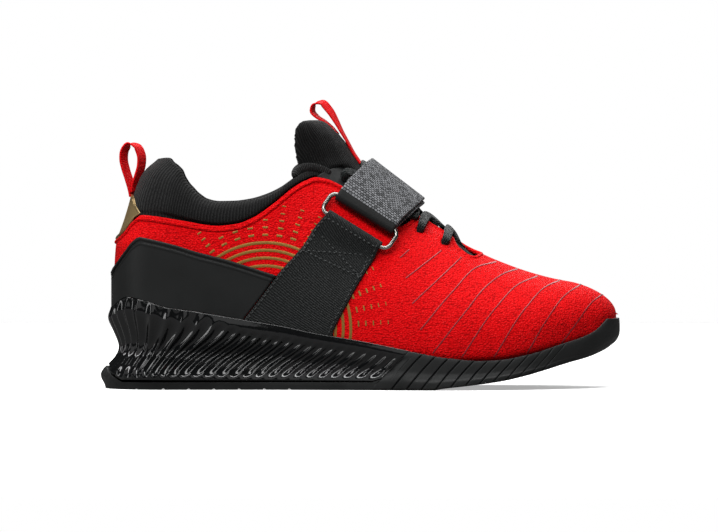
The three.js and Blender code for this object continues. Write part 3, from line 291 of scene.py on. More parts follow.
# The last's surface, grown outward by a distance. turn is the angle around a section: 0 at the
# widest line, a right angle at the ridge, and negative below the widest line.
def section(x, grow):
    heel = end_round((x - LAST_HEEL + grow) / (HEEL_ROUND + grow), END_POWER)
    toe = end_round((LAST_TOE + grow - x) / (TOE_ROUND + grow), END_POWER)
    toe_top = end_round((LAST_TOE + grow - x) / (TOE_TOP_ROUND + grow), TOE_TOP_POWER)
    widest = widest_at(x)
    half = (half_at(x) + grow) * heel * toe
    top = (ridge_at(x) + grow * np.hypot(1, ridge_slope(x)) - widest) * toe_top
    return half, widest, top, widest - bottom_at(x) + grow


def lean_shift(x, z):
    return lean_at(z) * (1 - smooth(x / LEAN_END))


def surface(x, turn, side, grow=0.0):
    half, widest, top, low = section(x, grow)
    rise = np.sin(np.maximum(turn, 0))
    drop = np.sin(np.maximum(-turn, 0))
    power = power_at(x)
    z = widest + top * rise - low * drop
    centre = mix(centre_at(x), across_at(x), rise * rise)
    shape = (1 - rise ** power) ** (1 / power) * (1 - drop ** LOW_POWER) ** (1 / LOW_POWER)
    return x + lean_shift(x, z), centre + side * half * shape, z


def turn_at(x, z, grow=0.0):
    """The angle around the section at which the surface has the height z."""
    _, widest, top, low = section(x, grow)
    rise = clamp((z - widest) / np.maximum(top, 1e-6))
    return np.arcsin(rise) - np.arcsin(clamp((widest - z) / low))


def section_x(x, z):
    """The section whose surface stands at X in the side view, at the height z."""
    found = x
    for _ in range(5):
        found = x - lean_shift(found, z)
    return found


def on_side(x, z, side, grow=0.0):
    """A side-view point carried across to the surface."""
    return surface(section_x(x, z), turn_at(section_x(x, z), z, grow), side, grow)


def skin(x, z, side, grow=0.0):
    """Points on the surface and the outward normals there, from side-view places."""
    xs = section_x(x, z)
    turn = turn_at(xs, z, grow)
    p = stack(surface(xs, turn, side, grow))
    step, tilt = 0.3, 0.02
    dx = stack(surface(xs + step, turn, side, grow)) - stack(surface(xs - step, turn, side, grow))
    turn = np.minimum(turn, math.pi / 2 - tilt)
    dt = stack(surface(xs, turn + tilt, side, grow)) - stack(surface(xs, turn - tilt, side, grow))
    normal = unit(np.cross(dx, dt))
    return p, normal * -np.asarray(side)[..., None]


# Mesh helpers. A shape is a grid bent by a function; UVs are millimetres along and across it.
def to_metres(points):
    return (np.asarray(points) - (HEEL_REST, 0, 0)) * 0.001


def grid(bm, columns, rows, place, flip=False, weld=False):
    """A grid bent by place(s, t), where s and t run from 0 to 1."""
    made = bmesh.ops.create_grid(bm, x_segments=columns, y_segments=rows, size=0.5)["verts"]
    s = np.array([v.co.x + 0.5 for v in made])
    t = np.array([v.co.y + 0.5 for v in made])
    points = to_metres(stack(place(s, t)))
    u = run_of(stack(place(np.linspace(0, 1, columns + 1), np.full(columns + 1, 0.5))))
    v = run_of(stack(place(np.full(rows + 1, 0.5), np.linspace(0, 1, rows + 1))))
    u = np.interp(s, np.linspace(0, 1, columns + 1), u)
    v = np.interp(t, np.linspace(0, 1, rows + 1), v)
    layer = bm.loops.layers.uv.verify()
    for vert, point, du, dv in zip(made, points, u, v):
        vert.co = point
        for loop in vert.link_loops:
            loop[layer].uv = (du, dv)
    if flip:
        bmesh.ops.reverse_faces(bm, faces=list({f for vert in made for f in vert.link_faces}))
    if weld:
        bmesh.ops.remove_doubles(bm, verts=bm.verts, dist=1e-6)
    return made


def run_of(points):
    """The distance walked from the first point to each one."""
    steps = np.linalg.norm(np.diff(points, axis=0), axis=1)
    return np.concatenate(([0.0], np.cumsum(steps)))


def walk(points, runs, run):
    """The place at a distance walked along a line of points."""
    return stack([np.interp(run, runs, points[:, k]) for k in range(points.shape[1])])


def add_piece(name, bm, material, slot, replaces=(), thickness=0.0):
    """Makes the mesh a piece on the root body; a thin sheet gets its thickness inwards."""
    mesh = bpy.data.meshes.new(name)
    bm.to_mesh(mesh)
    bm.free()
    mesh.shade_smooth()
    mesh.materials.append(material)
    obj = bpy.data.objects.new(name, mesh)
    bpy.context.scene.collection.objects.link(obj)
    if thickness:
        wall = obj.modifiers.new("wall", "SOLIDIFY")
        wall.thickness = thickness * 0.001
        wall.offset = -1
    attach(obj, "root")
    if replaces:
        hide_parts(*replaces)
    return obj


def spline(points, knots=None):
    """A smooth path through points, as a function of 0 to 1 by the distance along it."""
    p = np.asarray(points, float)
    k = run_of(p) if knots is None else knots
    k = k / k[-1]
    gap = np.diff(k)[:, None]
    slope = np.diff(p, axis=0) / gap
    inner = (slope[:-1] * gap[1:] + slope[1:] * gap[:-1]) / (gap[1:] + gap[:-1])
    bend = np.concatenate((slope[:1], inner, slope[-1:]))

    def at(t):
        t = np.clip(np.asarray(t, float), 0, 1)
        i = np.clip(np.searchsorted(k, t, side="right") - 1, 0, len(gap) - 1)
        w = gap[i]
        return blend_rows(p, bend, i, w, ((t - k[i]) / w[..., 0])[..., None])

    return at


def way_of(path, t, step=0.004):
    """The direction of a path."""
    return unit(path(np.minimum(t + step, 1)) - path(np.maximum(t - step, 0)))


def round_section(centre, across, up, s, radius):
    """A circle around each point of a path, for a round cord or wire."""
    angle = (2 * math.pi * s)[:, None]
    return np.moveaxis(centre + radius * (across * np.cos(angle) + up * np.sin(angle)), -1, 0)


def close_shell(bm):
    """Fills the open ends, and turns all faces outwards."""
    bmesh.ops.holes_fill(bm, edges=[e for e in bm.edges if e.is_boundary], sides=0)
    bmesh.ops.recalc_face_normals(bm, faces=bm.faces)


# The share of a ribbon's section that each of its two flat sides takes up
FLAT = 0.46


def sweep(bm, path, wide, half_width, half_thick, steps, around=28, crown=0.0, taper=0.0):
    """A flat cord or ribbon along a path: its section is a bar with round edges."""
    def place(s, t):
        p = path(t)
        way = way_of(path, t)
        w = wide(t)
        w = unit(w - way * (w * way).sum(-1, keepdims=True))
        out = np.cross(way, w)
        end = end_round(np.minimum(t, 1 - t) / taper, 2) if taper else np.ones_like(t)
        a = (half_width(t) if callable(half_width) else half_width) * end
        b = half_thick * end
        turn = (s - FLAT) / (0.5 - FLAT) * math.pi
        back = (s - 0.5 - FLAT) / (0.5 - FLAT) * math.pi
        parts = (s < FLAT, s < 0.5, s < 0.5 + FLAT)
        u = np.select(parts, (s / FLAT * 2 - 1, 1, 1 - (s - 0.5) / FLAT * 2), -1)
        lift = np.select(parts, (1, np.cos(turn), -1), -np.cos(back))
        bulge = np.select(parts, (0, np.sin(turn), 0), -np.sin(back))
        reach = u * (a - b) + bulge * b
        rise = lift * b * (1 + crown * (1 - u * u))
        return np.moveaxis(p + w * reach[..., None] + out * rise[..., None], -1, 0)
    grid(bm, around, steps, place, weld=True)
    close_shell(bm)


def pierce(bm, centre, normal, radius):
    """A round hole through a fine sheet: faces go, and the edge left is drawn to the circle."""
    centre = Vector(to_metres(centre))
    normal = Vector(normal)
    radius *= 0.001
    inside = [f for f in bm.faces if (f.calc_center_median() - centre).length < radius]
    bmesh.ops.delete(bm, geom=inside, context="FACES")
    for v in bm.verts:
        if v.is_boundary and (v.co - centre).length < 1.9 * radius:
            away = v.co - centre
            away -= normal * away.dot(normal)
            v.co += away.normalized() * (radius - away.length)


# Materials. Colours are sRGB hex values, and patterns on the UVs are in millimetres.
# BAND is the scale of a wave pattern whose bands are one millimetre apart.
BAND = 0.314


def colour(hex_value):
    parts = [int(hex_value[i:i + 2], 16) / 255 for i in (1, 3, 5)]
    return tuple(c / 12.92 if c <= 0.04045 else ((c + 0.055) / 1.055) ** 2.4 for c in parts) + (1.0,)


def finish(name, base, **sockets):
    """A material with a base colour and the values of its shader's own sockets."""
    made = bpy.data.materials.new(name)
    made.use_nodes = True
    shader = made.node_tree.nodes["Principled BSDF"]
    shader.inputs["Base Color"].default_value = colour(base)
    for key, value in sockets.items():
        shader.inputs[key.replace("_", " ").title().replace("Ior", "IOR")].default_value = value
    return made


def node(material, kind, inputs=None, out=0, stops=(), **settings):
    """Adds a node with its settings and links, and gives one of its outputs."""
    tree = material.node_tree
    made = tree.nodes["Principled BSDF"] if kind == "Shader" else tree.nodes.new("ShaderNode" + kind)
    for name, value in settings.items():
        setattr(made, name, value)
    for i, (place, hex_value) in enumerate(stops):
        element = made.color_ramp.elements[i] if i < 2 else made.color_ramp.elements.new(place)
        element.position = place
        element.color = colour(hex_value)
    for name, value in (inputs or {}).items():
        if isinstance(value, bpy.types.NodeSocket):
            tree.links.new(value, made.inputs[name])
        else:
            made.inputs[name].default_value = value
    return made.outputs[out]


def red_knit():
    # Flat knitted polyester: small raised loops in rows, matt, with a painted highlight on the crown of each
    # loop and painted shade between the loops
    m = finish("red_polyester_knit", "#c8141b", roughness=0.75, specular_ior_level=0.12)
    body = node(m, "TexCoord", out="Object")
    cells = node(m, "Mapping", {"Vector": body, "Scale": (1000 / 1.3, 1000 / 1.3, 1000 / 0.95)})
    loops = node(m, "TexVoronoi", {"Vector": cells, "Scale": 1, "Randomness": 0.8})
    mottle = node(m, "TexNoise", {"Vector": body, "Scale": 110, "Detail": 4})
    fuzz = node(m, "TexNoise", {"Vector": body, "Scale": 1500, "Detail": 2})
    height = node(m, "Math", {0: fuzz, 1: 0.35, 2: loops}, operation="MULTIPLY_ADD")
    # The tint follows the loops' height: the pale pink on the crowns is painted highlight, the deep red
    # between the loops is painted shade
    tint = node(m, "ValToRGB", {"Fac": height},
                stops=((0.1, "#fa5a5c"), (0.34, "#e00a10"), (0.75, "#cf0207"), (1.0, "#ac0104")))
    shade = node(m, "ValToRGB", {"Fac": mottle}, stops=((0.3, "#f0f0f0"), (0.7, "#ffffff")))
    mixed = node(m, "MixRGB", {"Fac": 1, "Color1": tint, "Color2": shade}, blend_type="MULTIPLY")
    depth = node(m, "Bump", {"Height": height, "Distance": 0.0005}, invert=True)
    node(m, "Shader", {"Base Color": mixed, "Normal": depth})
    return m


def rib_knit(name, base, light, pitch, direction="X"):
    # Rib knit over foam: fine uneven ridges with small stitches across them, matt black, with a painted
    # highlight on the ridge crests and painted shade in the hollows
    m = finish(name, base, roughness=0.85, specular_ior_level=0.2, sheen_weight=0.05)
    place = node(m, "TexCoord", out="UV")
    ribs = node(m, "TexWave", {"Vector": place, "Scale": BAND / pitch, "Distortion": 2.2, "Detail": 3,
                               "Detail Scale": 2.5, "Detail Roughness": 0.6},
                out="Fac", bands_direction=direction)
    cells = node(m, "TexVoronoi", {"Vector": place, "Scale": 0.95}, voronoi_dimensions="2D")
    height = node(m, "Math", {0: cells, 1: -0.45, 2: ribs}, operation="MULTIPLY_ADD")
    # The tint follows the height: the lighter colour on the ridge crests is painted highlight, and the dark
    # of the hollows and stitches is painted shade
    tint = node(m, "ValToRGB", {"Fac": height}, stops=((0.1, base), (0.45, base), (1, light)))
    depth = node(m, "Bump", {"Height": height, "Distance": 0.0003})
    node(m, "Shader", {"Base Color": tint, "Normal": depth})
    return m


def gloss_tpu():
    # Injection moulded thermoplastic polyurethane: near black, sharp reflections over a faint ripple
    m = finish("gloss_moulded_tpu", "#070809", ior=1.5, coat_weight=0.4, coat_roughness=0.04)
    body = node(m, "TexCoord", out="Object")
    ripple = node(m, "TexNoise", {"Vector": body, "Scale": 300, "Detail": 2})
    rough = node(m, "MapRange", {"Value": ripple, "To Min": 0.07, "To Max": 0.16})
    depth = node(m, "Bump", {"Height": ripple, "Distance": 0.0001})
    node(m, "Shader", {"Roughness": rough, "Normal": depth})
    return m


def moulded_rubber():
    # Moulded rubber: satin charcoal with a fine even grain from the mould
    m = finish("moulded_rubber", "#1c1d1d", specular_ior_level=0.35)
    body = node(m, "TexCoord", out="Object")
    grain = node(m, "TexNoise", {"Vector": body, "Scale": 2200, "Detail": 4})
    cloud = node(m, "TexNoise", {"Vector": body, "Scale": 50, "Detail": 3})
    tint = node(m, "ValToRGB", {"Fac": cloud}, stops=((0.3, "#191a1a"), (0.7, "#242525")))
    rough = node(m, "MapRange", {"Value": grain, "To Min": 0.42, "To Max": 0.62})
    depth = node(m, "Bump", {"Height": grain, "Distance": 0.00006})
    node(m, "Shader", {"Base Color": tint, "Roughness": rough, "Normal": depth})
    return m


def satin_plastic():
    # Moulded satin thermoplastic: even grey-black with a very fine grain
    m = finish("satin_moulded_plastic", "#171818", roughness=0.5, specular_ior_level=0.3)
    body = node(m, "TexCoord", out="Object")
    grain = node(m, "TexNoise", {"Vector": body, "Scale": 3000, "Detail": 2})
    cloud = node(m, "TexNoise", {"Vector": body, "Scale": 40, "Detail": 2})
    tint = node(m, "ValToRGB", {"Fac": cloud}, stops=((0.3, "#161717"), (0.7, "#1c1d1d")))
    depth = node(m, "Bump", {"Height": grain, "Distance": 0.00003})
    node(m, "Shader", {"Base Color": tint, "Normal": depth})
    return m


def embossed_leather():
    # Embossed synthetic leather: fine slanted ribs 1.15 mm apart, broken like a weave, satin black, with a
    # painted highlight on the raised ribs and painted shade in the grooves
    m = finish("embossed_synthetic_leather", "#171818", roughness=0.5, specular_ior_level=0.3)
    place = node(m, "TexCoord", out="UV")
    slanted = node(m, "Mapping", {"Vector": place, "Rotation": (0, 0, 0.42)})
    rib = node(m, "TexWave", {"Vector": slanted, "Scale": BAND / 1.15, "Distortion": 2.2, "Detail": 1,
                              "Detail Scale": 2}, out="Fac", bands_direction="Y")
    grain = node(m, "TexNoise", {"Vector": place, "Scale": 1.1, "Detail": 2})
    height = node(m, "Math", {0: grain, 1: 0.5, 2: rib}, operation="MULTIPLY_ADD")
    # The tint follows the emboss height: the lighter top of the ramp is painted highlight, the darkest end
    # painted shade in the grooves
    tint = node(m, "ValToRGB", {"Fac": height}, stops=((0.2, "#0b0c0c"), (0.75, "#131414"), (1, "#212323")))
    depth = node(m, "Bump", {"Height": height, "Distance": 0.0003})
    node(m, "Shader", {"Base Color": tint, "Normal": depth})
    return m


def smooth_synthetic(name, base, rough):
    # Coated microfibre: smooth, with a faint pebble
    m = finish(name, base, roughness=rough, specular_ior_level=0.35)
    body = node(m, "TexCoord", out="Object")
    pebble = node(m, "TexVoronoi", {"Vector": body, "Scale": 1300})
    cloud = node(m, "TexNoise", {"Vector": body, "Scale": 90, "Detail": 3})
    spread = node(m, "MapRange", {"Value": cloud, "To Min": rough - 0.06, "To Max": rough + 0.08})
    depth = node(m, "Bump", {"Height": pebble, "Distance": 0.00004})
    node(m, "Shader", {"Roughness": spread, "Normal": depth})
    return m


def woven_webbing():
    # Polyester webbing: grey basket weave of flat yarns 1.9 mm long and 1.3 mm high, with painted shade
    # between them
    m = finish("grey_woven_webbing", "#5b5c5d", roughness=0.65, specular_ior_level=0.2)
    place = node(m, "TexCoord", out="UV")
    yarn = node(m, "TexBrick", {"Vector": place, "Scale": 1, "Mortar Size": 0.24, "Mortar Smooth": 1,
                                "Brick Width": 1.9, "Row Height": 1.3, "Color1": (1, 1, 1, 1),
                                "Color2": (0.72, 0.72, 0.72, 1), "Mortar": (0, 0, 0, 1)})
    fibre = node(m, "TexNoise", {"Vector": place, "Scale": 0.9, "Detail": 3})
    height = node(m, "Math", {0: fibre, 1: 0.3, 2: yarn}, operation="MULTIPLY_ADD")
    # The near black at the low end of the tint, in the mortar between the yarns, is painted shade
    tint = node(m, "ValToRGB", {"Fac": height},
                stops=((0.2, "#050606"), (0.6, "#2b2c2d"), (0.92, "#4c4d4f"), (1, "#76777a")))
    depth = node(m, "Bump", {"Height": height, "Distance": 0.0005})
    node(m, "Shader", {"Base Color": tint, "Normal": depth})
    return m


def flat_braid():
    # Tubular polyester braid pressed flat: black, with slanted strands whose crests carry a painted cool
    # highlight
    m = finish("black_flat_braid", "#15191a", roughness=0.5, specular_ior_level=0.4)
    place = node(m, "TexCoord", out="UV")
    strands = []
    for turn in (0.62, -0.62):
        slanted = node(m, "Mapping", {"Vector": place, "Rotation": (0, 0, turn)})
        strand = {"Vector": slanted, "Scale": BAND / 1.3, "Distortion": 0.5}
        strands.append(node(m, "TexWave", strand, out="Fac"))
    height = node(m, "Math", {0: strands[0], 1: strands[1]}, operation="MAXIMUM")
    # The tint follows the strands' height: the cool grey-green on the crests is painted highlight, the near
    # black between them painted shade
    tint = node(m, "ValToRGB", {"Fac": height}, stops=((0.4, "#030404"), (1, "#1b2120")))
    depth = node(m, "Bump", {"Height": height, "Distance": 0.0006})
    node(m, "Shader", {"Base Color": tint, "Normal": depth})
    return m


def grosgrain():
    # Grosgrain ribbon: red satin yarn in fine cross ribs, drawn a little coarser than life so they show
    m = finish("red_grosgrain_ribbon", "#d0141c", roughness=0.7, specular_ior_level=0.15)
    place = node(m, "TexCoord", out="UV")
    rib = node(m, "TexWave", {"Vector": place, "Scale": BAND / 0.8, "Distortion": 0.4}, out="Fac",
               bands_direction="Y")
    # The ribs' crests are tinted brighter red as painted highlight, and their troughs darker red as painted
    # shade
    tint = node(m, "ValToRGB", {"Fac": rib}, stops=((0, "#b8040a"), (1, "#e30d14")))
    depth = node(m, "Bump", {"Height": rib, "Distance": 0.00012})
    node(m, "Shader", {"Base Color": tint, "Normal": depth})
    return m


def plated_steel():
    # Plated steel wire, tumbled and polished: bright, with slight wear
    m = finish("plated_steel_wire", "#a09e99", metallic=1.0)
    body = node(m, "TexCoord", out="Object")
    wear = node(m, "TexNoise", {"Vector": body, "Scale": 500, "Detail": 4})
    rough = node(m, "MapRange", {"Value": wear, "To Min": 0.2, "To Max": 0.26})
    node(m, "Shader", {"Roughness": rough})
    return m


def metal_film(name, base, rough, metallic):
    # Heat-pressed metallic film: it takes the small unevenness of the cloth under it
    m = finish(name, base, roughness=rough, metallic=metallic)
    body = node(m, "TexCoord", out="Object")
    grain = node(m, "TexNoise", {"Vector": body, "Scale": 1400, "Detail": 3})
    tint = node(m, "MixRGB", {"Fac": 0.35, "Color1": colour(base), "Color2": grain}, blend_type="MULTIPLY")
    depth = node(m, "Bump", {"Height": grain, "Distance": 0.00012})
    node(m, "Shader", {"Base Color": tint, "Normal": depth})
    return m


def bonded_thread(name, base):
    # Bonded nylon thread: twisted, slightly shiny
    m = finish(name, base, roughness=0.45)
    body = node(m, "TexCoord", out="Object")
    twist = node(m, "TexNoise", {"Vector": body, "Scale": 2500, "Detail": 1})
    rough = node(m, "MapRange", {"Value": twist, "To Min": 0.35, "To Max": 0.6})
    node(m, "Shader", {"Roughness": rough})
    return m


def brushed_jersey():
    # Brushed jersey on foam: soft flat black with a short nap
    m = finish("brushed_jersey", "#1a1a1c", roughness=1.0, specular_ior_level=0.05)
    body = node(m, "TexCoord", out="Object")
    nap = node(m, "TexNoise", {"Vector": body, "Scale": 1800, "Detail": 4})
    tint = node(m, "ValToRGB", {"Fac": nap}, stops=((0.3, "#131315"), (0.7, "#242427")))
    depth = node(m, "Bump", {"Height": nap, "Distance": 0.00005})
    node(m, "Shader", {"Base Color": tint, "Normal": depth})
    return m


def studio_paper():
    # Matt white paper under the shoe; what the shoe itself sees of it is dimmer, as with flags around the set
    m = finish("white_studio_paper", "#f2f2f2", roughness=0.9, specular_ior_level=0.0)
    seen = node(m, "LightPath", out="Is Camera Ray")
    tint = node(m, "MixRGB", {"Fac": seen, "Color1": colour("#6c6c6c"), "Color2": colour("#f4f4f4")})
    glow = node(m, "Math", {0: seen, 1: 0.4}, operation="MULTIPLY")
    node(m, "Shader", {"Base Color": tint, "Emission Color": (1, 1, 1, 1), "Emission Strength": glow})
    return m


KNIT = red_knit()
COLLAR_KNIT = rib_knit("black_collar_knit", "#101010", "#292929", 1.7)
TONGUE_KNIT = rib_knit("black_tongue_knit", "#101010", "#262626", 1.6)
BINDING_KNIT = rib_knit("black_binding_knit", "#1a1a1a", "#444444", 1.4, "Y")
TPU = gloss_tpu()
RUBBER = moulded_rubber()
COUNTER_SKIN = satin_plastic()
BASE_SKIN = embossed_leather()
FACING_SKIN = smooth_synthetic("black_coated_microfibre", "#1d1e1e", 0.42)
STRAP_LINING = smooth_synthetic("black_brushed_nylon", "#161717", 0.6)
WEBBING = woven_webbing()
BRAID = flat_braid()
RIBBON = grosgrain()
STEEL = plated_steel()
GOLD = metal_film("bronze_gold_film", "#a67c3a", 0.42, 0.5)
TAB_FILM = metal_film("pale_gold_film", "#b39a6b", 0.36, 0.6)
LINE_FILM = metal_film("rose_gloss_film", "#9a2a30", 0.4, 0.3)
THREAD = bonded_thread("black_nylon_thread", "#323434")
JERSEY = brushed_jersey()


# Upper: two half skins that meet along the ridge, the toe and the heel, with a rolled edge
SLOT_FROM = along(0.41)
SLOT_TO = along(0.731)
SLOT_END_ROUND = 8
SLOT_HALF_REAR = 9.5
SLOT_HALF_FRONT = 7.5
TOPLINE_END = {-1: SLOT_TO, 1: along(0.66)}
UPPER_TUCK = 7
UPPER_FLOOR = 3.2
FACING_SHOW = 0.2
ROLL_RADIUS = 1.25
ROLL_DEEP = -0.55
ROLL_TURN = 0.6 / 35

# Beads and grooves beside an edge: height, distance from the edge and half width
EDGE_BEAD = (0.55, 1.2, 0.95)
EDGE_GROOVE = (-0.4, 3.3, 0.5)
COUNTER_RIMS = ((0.9, 1.3, 0.9), (0.35, 4.0, 0.7))
TAB_RIM = (0.45, 1.1, 0.7)


def slot_half(x):
    """Half the width of the throat's slot."""
    return mix(SLOT_HALF_REAR, SLOT_HALF_FRONT, clamp((x - 150) / 50))


def turn_beside(x, side, half, grow=0.0):
    """The angle at which the surface is a given distance from the ridge line."""
    def wide(turn):
        return side * (surface(x, turn, side, grow)[1] - across_at(x)) > half
    return halve(np.zeros_like(x), np.full_like(x, math.pi / 2), 30, wide)


def edge_turn(x, side):
    """The angle at which the upper ends, along its topline or beside its slot."""
    z = topline_at(x)
    for _ in range(8):
        z = topline_at(x + lean_shift(x, z))
    top = np.where(x < TOPLINE_END[side], turn_at(x, z), math.pi / 2)
    cap = np.sqrt(clamp(1 - clamp((x - SLOT_TO + SLOT_END_ROUND) / SLOT_END_ROUND) ** 2))
    slot = turn_beside(x, side, slot_half(x) * cap)
    slot = np.where((x > SLOT_FROM) & (x < SLOT_TO), slot, math.pi / 2)
    return np.minimum(top, slot)


def upper_half(side):
    """One half of the upper, from behind the sole's rim up to its edge or to the ridge."""
    def place(s, t):
        x = LAST_HEEL + (LAST_TOE - LAST_HEEL) * (1 - np.cos(math.pi * s)) / 2
        edge = edge_turn(x, side)
        low = turn_at(x, np.maximum(rim_at(x) - UPPER_TUCK, bottom_at(x) + UPPER_FLOOR))
        full = math.pi / 2 - low
        missing = math.pi / 2 - edge
        power = np.clip(0.8 * full / np.maximum(missing, 0.01), 1, 7)
        rise = 1 - (1 - t) ** 1.3
        turn = low + full * rise - missing * rise ** power
        half, _, top, _ = section(x, 0)
        reach = np.hypot(top * np.cos(edge), half * np.sin(edge)) * (edge - turn)
        rolled = smooth((SLOT_TO + 1 - x) / 6)
        relief = bead(reach, *EDGE_BEAD) + bead(reach, *EDGE_GROOVE)
        return surface(x, turn, side, relief * rolled)
    return place


def make_upper():
    bm = bmesh.new()
    grid(bm, 380, 52, upper_half(-1))
    grid(bm, 380, 52, upper_half(1), flip=True, weld=True)
    for side in (-1, 1):
        for x, z in EYELETS[:2]:
            p, normal = skin(x, z, side)
            pierce(bm, p, normal, EYELET_HOLE / 2)
    add_piece("upper_skin", bm, KNIT, "upper_knit", ["upper"], WALL)


def edge_path(side):
    """The upper's edge on one side, from the heel along the topline and the slot to its front end."""
    x = LAST_HEEL + (SLOT_TO - LAST_HEEL) * np.sin(math.pi / 2 * np.linspace(0, 1, 420))
    return stack(surface(x, edge_turn(x, side) - ROLL_TURN, side, ROLL_DEEP))


def make_edge_roll():
    """The rolled edge all around the collar and the throat."""
    loop = np.concatenate((edge_path(-1), edge_path(1)[::-1][1:]))
    runs = run_of(loop)
    path = spline(walk(loop, runs, np.linspace(0, runs[-1], 520)))

    def place(s, t):
        way = way_of(path, t, 0.002)
        across = unit(np.cross(way, np.array([0.0, 0.15, 1.0])))
        return round_section(path(t), across, np.cross(way, across), s, ROLL_RADIUS)
    bm = bmesh.new()
    grid(bm, 14, 900, place, weld=True)
    bmesh.ops.recalc_face_normals(bm, faces=bm.faces)
    add_piece("upper_rolled_edge", bm, KNIT, "upper_knit")


FACING_FROM = along(0.413)
FACING_TO = along(0.678)


def make_facing(side, name):
    """The black band under the throat's edge that carries the eyelets."""
    deep = -WALL - GAP

    def place(s, t):
        x = mix(FACING_FROM, FACING_TO, s)
        beside = turn_beside(x, side, slot_half(x) - FACING_SHOW, deep)
        turn = np.minimum(turn_at(x, facing_top_at(x), deep), beside)
        width, _, top, _ = section(x, deep)
        size = np.hypot(top * np.cos(turn), width * np.sin(turn))
        reach = (1 - t) * FACING_DEPTH * mix(0.3, 1, smooth(s / 0.08))
        edge = end_round(reach, 2) - 1
        return surface(x, turn - reach / size, side, deep + 0.5 * edge)
    bm = bmesh.new()
    grid(bm, 150, 44, place, flip=side > 0)
    for x, z in EYELETS:
        p, normal = skin(x, z, side, deep)
        pierce(bm, p, normal, EYELET_HOLE / 2)
    add_piece(name + "_skin", bm, FACING_SKIN, "facing", [name], FACING_THICKNESS)


# Heel counter: one panel wrapped around the back, with a raised double rim along its top
def counter_place(s, t):
    """s runs around the heel from one front edge to the other, t from the sole's rim up."""
    side = np.where(s < 0.5, 1.0, -1.0)
    share = np.abs(2 * s - 1) ** 2
    grow = GAP + COUNTER_THICKNESS
    x = mix(LAST_HEEL - grow, 90.0, share)
    real = x
    for _ in range(7):
        z = mix(rim_at(real) + 0.05, counter_top_at(real), t)
        x = mix(LAST_HEEL - grow, base_rear_at(z) - 0.3, share)
        real = x + lean_shift(x, z)
    down = (1 - t) * (counter_top_at(real) - rim_at(real))
    rim = sum(bead(down, *row, 4) for row in COUNTER_RIMS)
    edge = end_round(down / 0.7, 2) - 1
    return surface(x, turn_at(x, z, grow), side, grow + rim + edge - 0.2)


def make_counter():
    bm = bmesh.new()
    grid(bm, 230, 100, counter_place)
    add_piece("heel_counter_panel", bm, COUNTER_SKIN, "counter", ["heel_counter"], COUNTER_THICKNESS - 0.3)


# The ring's place: its lower bar lies in the outer base's sleeve, its upper bar in the strap's turn
RING_PROUD = 3.6
ring_rear = skin(along(0.4363), 0.7589 * COLLAR_HEIGHT, -1, RING_PROUD)[0]
ring_front = skin(along(0.5356), 0.6202 * COLLAR_HEIGHT, -1, RING_PROUD)[0]
ring_middle, ring_out = skin(along(0.486), 0.6899 * COLLAR_HEIGHT, -1, RING_PROUD)
ring_long = unit(ring_front - ring_rear)
ring_out = unit(ring_out - ring_long * ring_out.dot(ring_long))
ring_up = np.cross(ring_long, ring_out)
ring_up = ring_up * np.sign(ring_up[2])
lower_bar = (ring_rear + ring_front) / 2
lower_bar = lower_bar + ring_out * max(0.0, (ring_middle - lower_bar).dot(ring_out))
upper_bar = lower_bar + ring_up * (RING_WIDTH - WIRE)


def make_ring():
    """The wire ring: a rounded oblong of round wire."""
    bm = bmesh.new()
    a = (RING_LENGTH - WIRE) / 2
    b = (RING_WIDTH - WIRE) / 2
    centre = (lower_bar + upper_bar) / 2
    corners = []
    for turn, (u, v) in enumerate(((a, -b), (a, b), (-a, b), (-a, -b))):
        for k in range(13):
            angle = math.pi / 2 * (turn - 1 + k / 12)
            corners.append((u - math.copysign(RING_CORNER, u) + RING_CORNER * math.cos(angle),
                            v - math.copysign(RING_CORNER, v) + RING_CORNER * math.sin(angle)))
    flat = np.array(corners + corners[:1])
    loop = centre + flat[:, :1] * ring_long + flat[:, 1:] * ring_up
    runs = run_of(loop)

    def place(s, t):
        run = t * runs[-1]
        p = walk(loop, runs, run)
        ahead = walk(loop, runs, (run + 0.3) % runs[-1])
        return round_section(p, unit(np.cross(ahead - p, ring_out)), ring_out, s, WIRE / 2)
    grid(bm, 20, 260, place, weld=True)
    bmesh.ops.recalc_face_normals(bm, faces=bm.faces)
    add_piece("strap_ring_wire", bm, STEEL, "ring_wire", ["strap_ring"])


# Strap bases: panels from the sole's rim up to the ring, the outer one turned over the ring's bar
HEM = 0.84
BASE_TOP_REAR = 0.7736
BASE_TOP_FRONT = 0.6302
BASE_WIDTH = 44
BASE_LENGTH = 62
SLEEVE_TURN = math.radians(250)
SLEEVE_RADIUS = WIRE / 2 + GAP + BASE_THICKNESS


def base_place(side):
    """s runs forward along the panel, t up; past the hem the outer one wraps the ring's lower bar."""
    def place(s, t):
        rise = np.minimum(t / (HEM if side < 0 else 1), 1)
        top = mix(BASE_TOP_REAR, BASE_TOP_FRONT, s) * COLLAR_HEIGHT
        z = mix(36.0, top, rise)
        for _ in range(6):
            x = mix(base_rear_at(z), base_front_at(z), s)
            z = mix(rim_at(x) + 0.05, top, rise)
        edge = (end_round(np.minimum(s, 1 - s) * BASE_WIDTH / 0.8, 2) - 1) * 0.9
        p = stack(on_side(x, z, side, GAP + BASE_THICKNESS + edge))
        if side > 0:
            return np.moveaxis(p, -1, 0)
        spread = (s - 0.5) * (RING_LENGTH - 2 * RING_CORNER - WIRE - 0.6)
        bar = lower_bar + ring_long * spread[:, None]
        angle = (np.maximum(t - HEM, 0) / (1 - HEM) * SLEEVE_TURN)[:, None]
        over = bar + SLEEVE_RADIUS * (ring_out * np.cos(angle) + ring_up * np.sin(angle))
        low = bar + SLEEVE_RADIUS * ring_out - ring_up * (np.maximum(HEM - t, 0) * BASE_LENGTH)[:, None]
        p = mix(p, low, smooth((t / HEM - 0.8) / 0.2)[:, None])
        return np.moveaxis(np.where((t > HEM)[:, None], over, p), -1, 0)
    return place


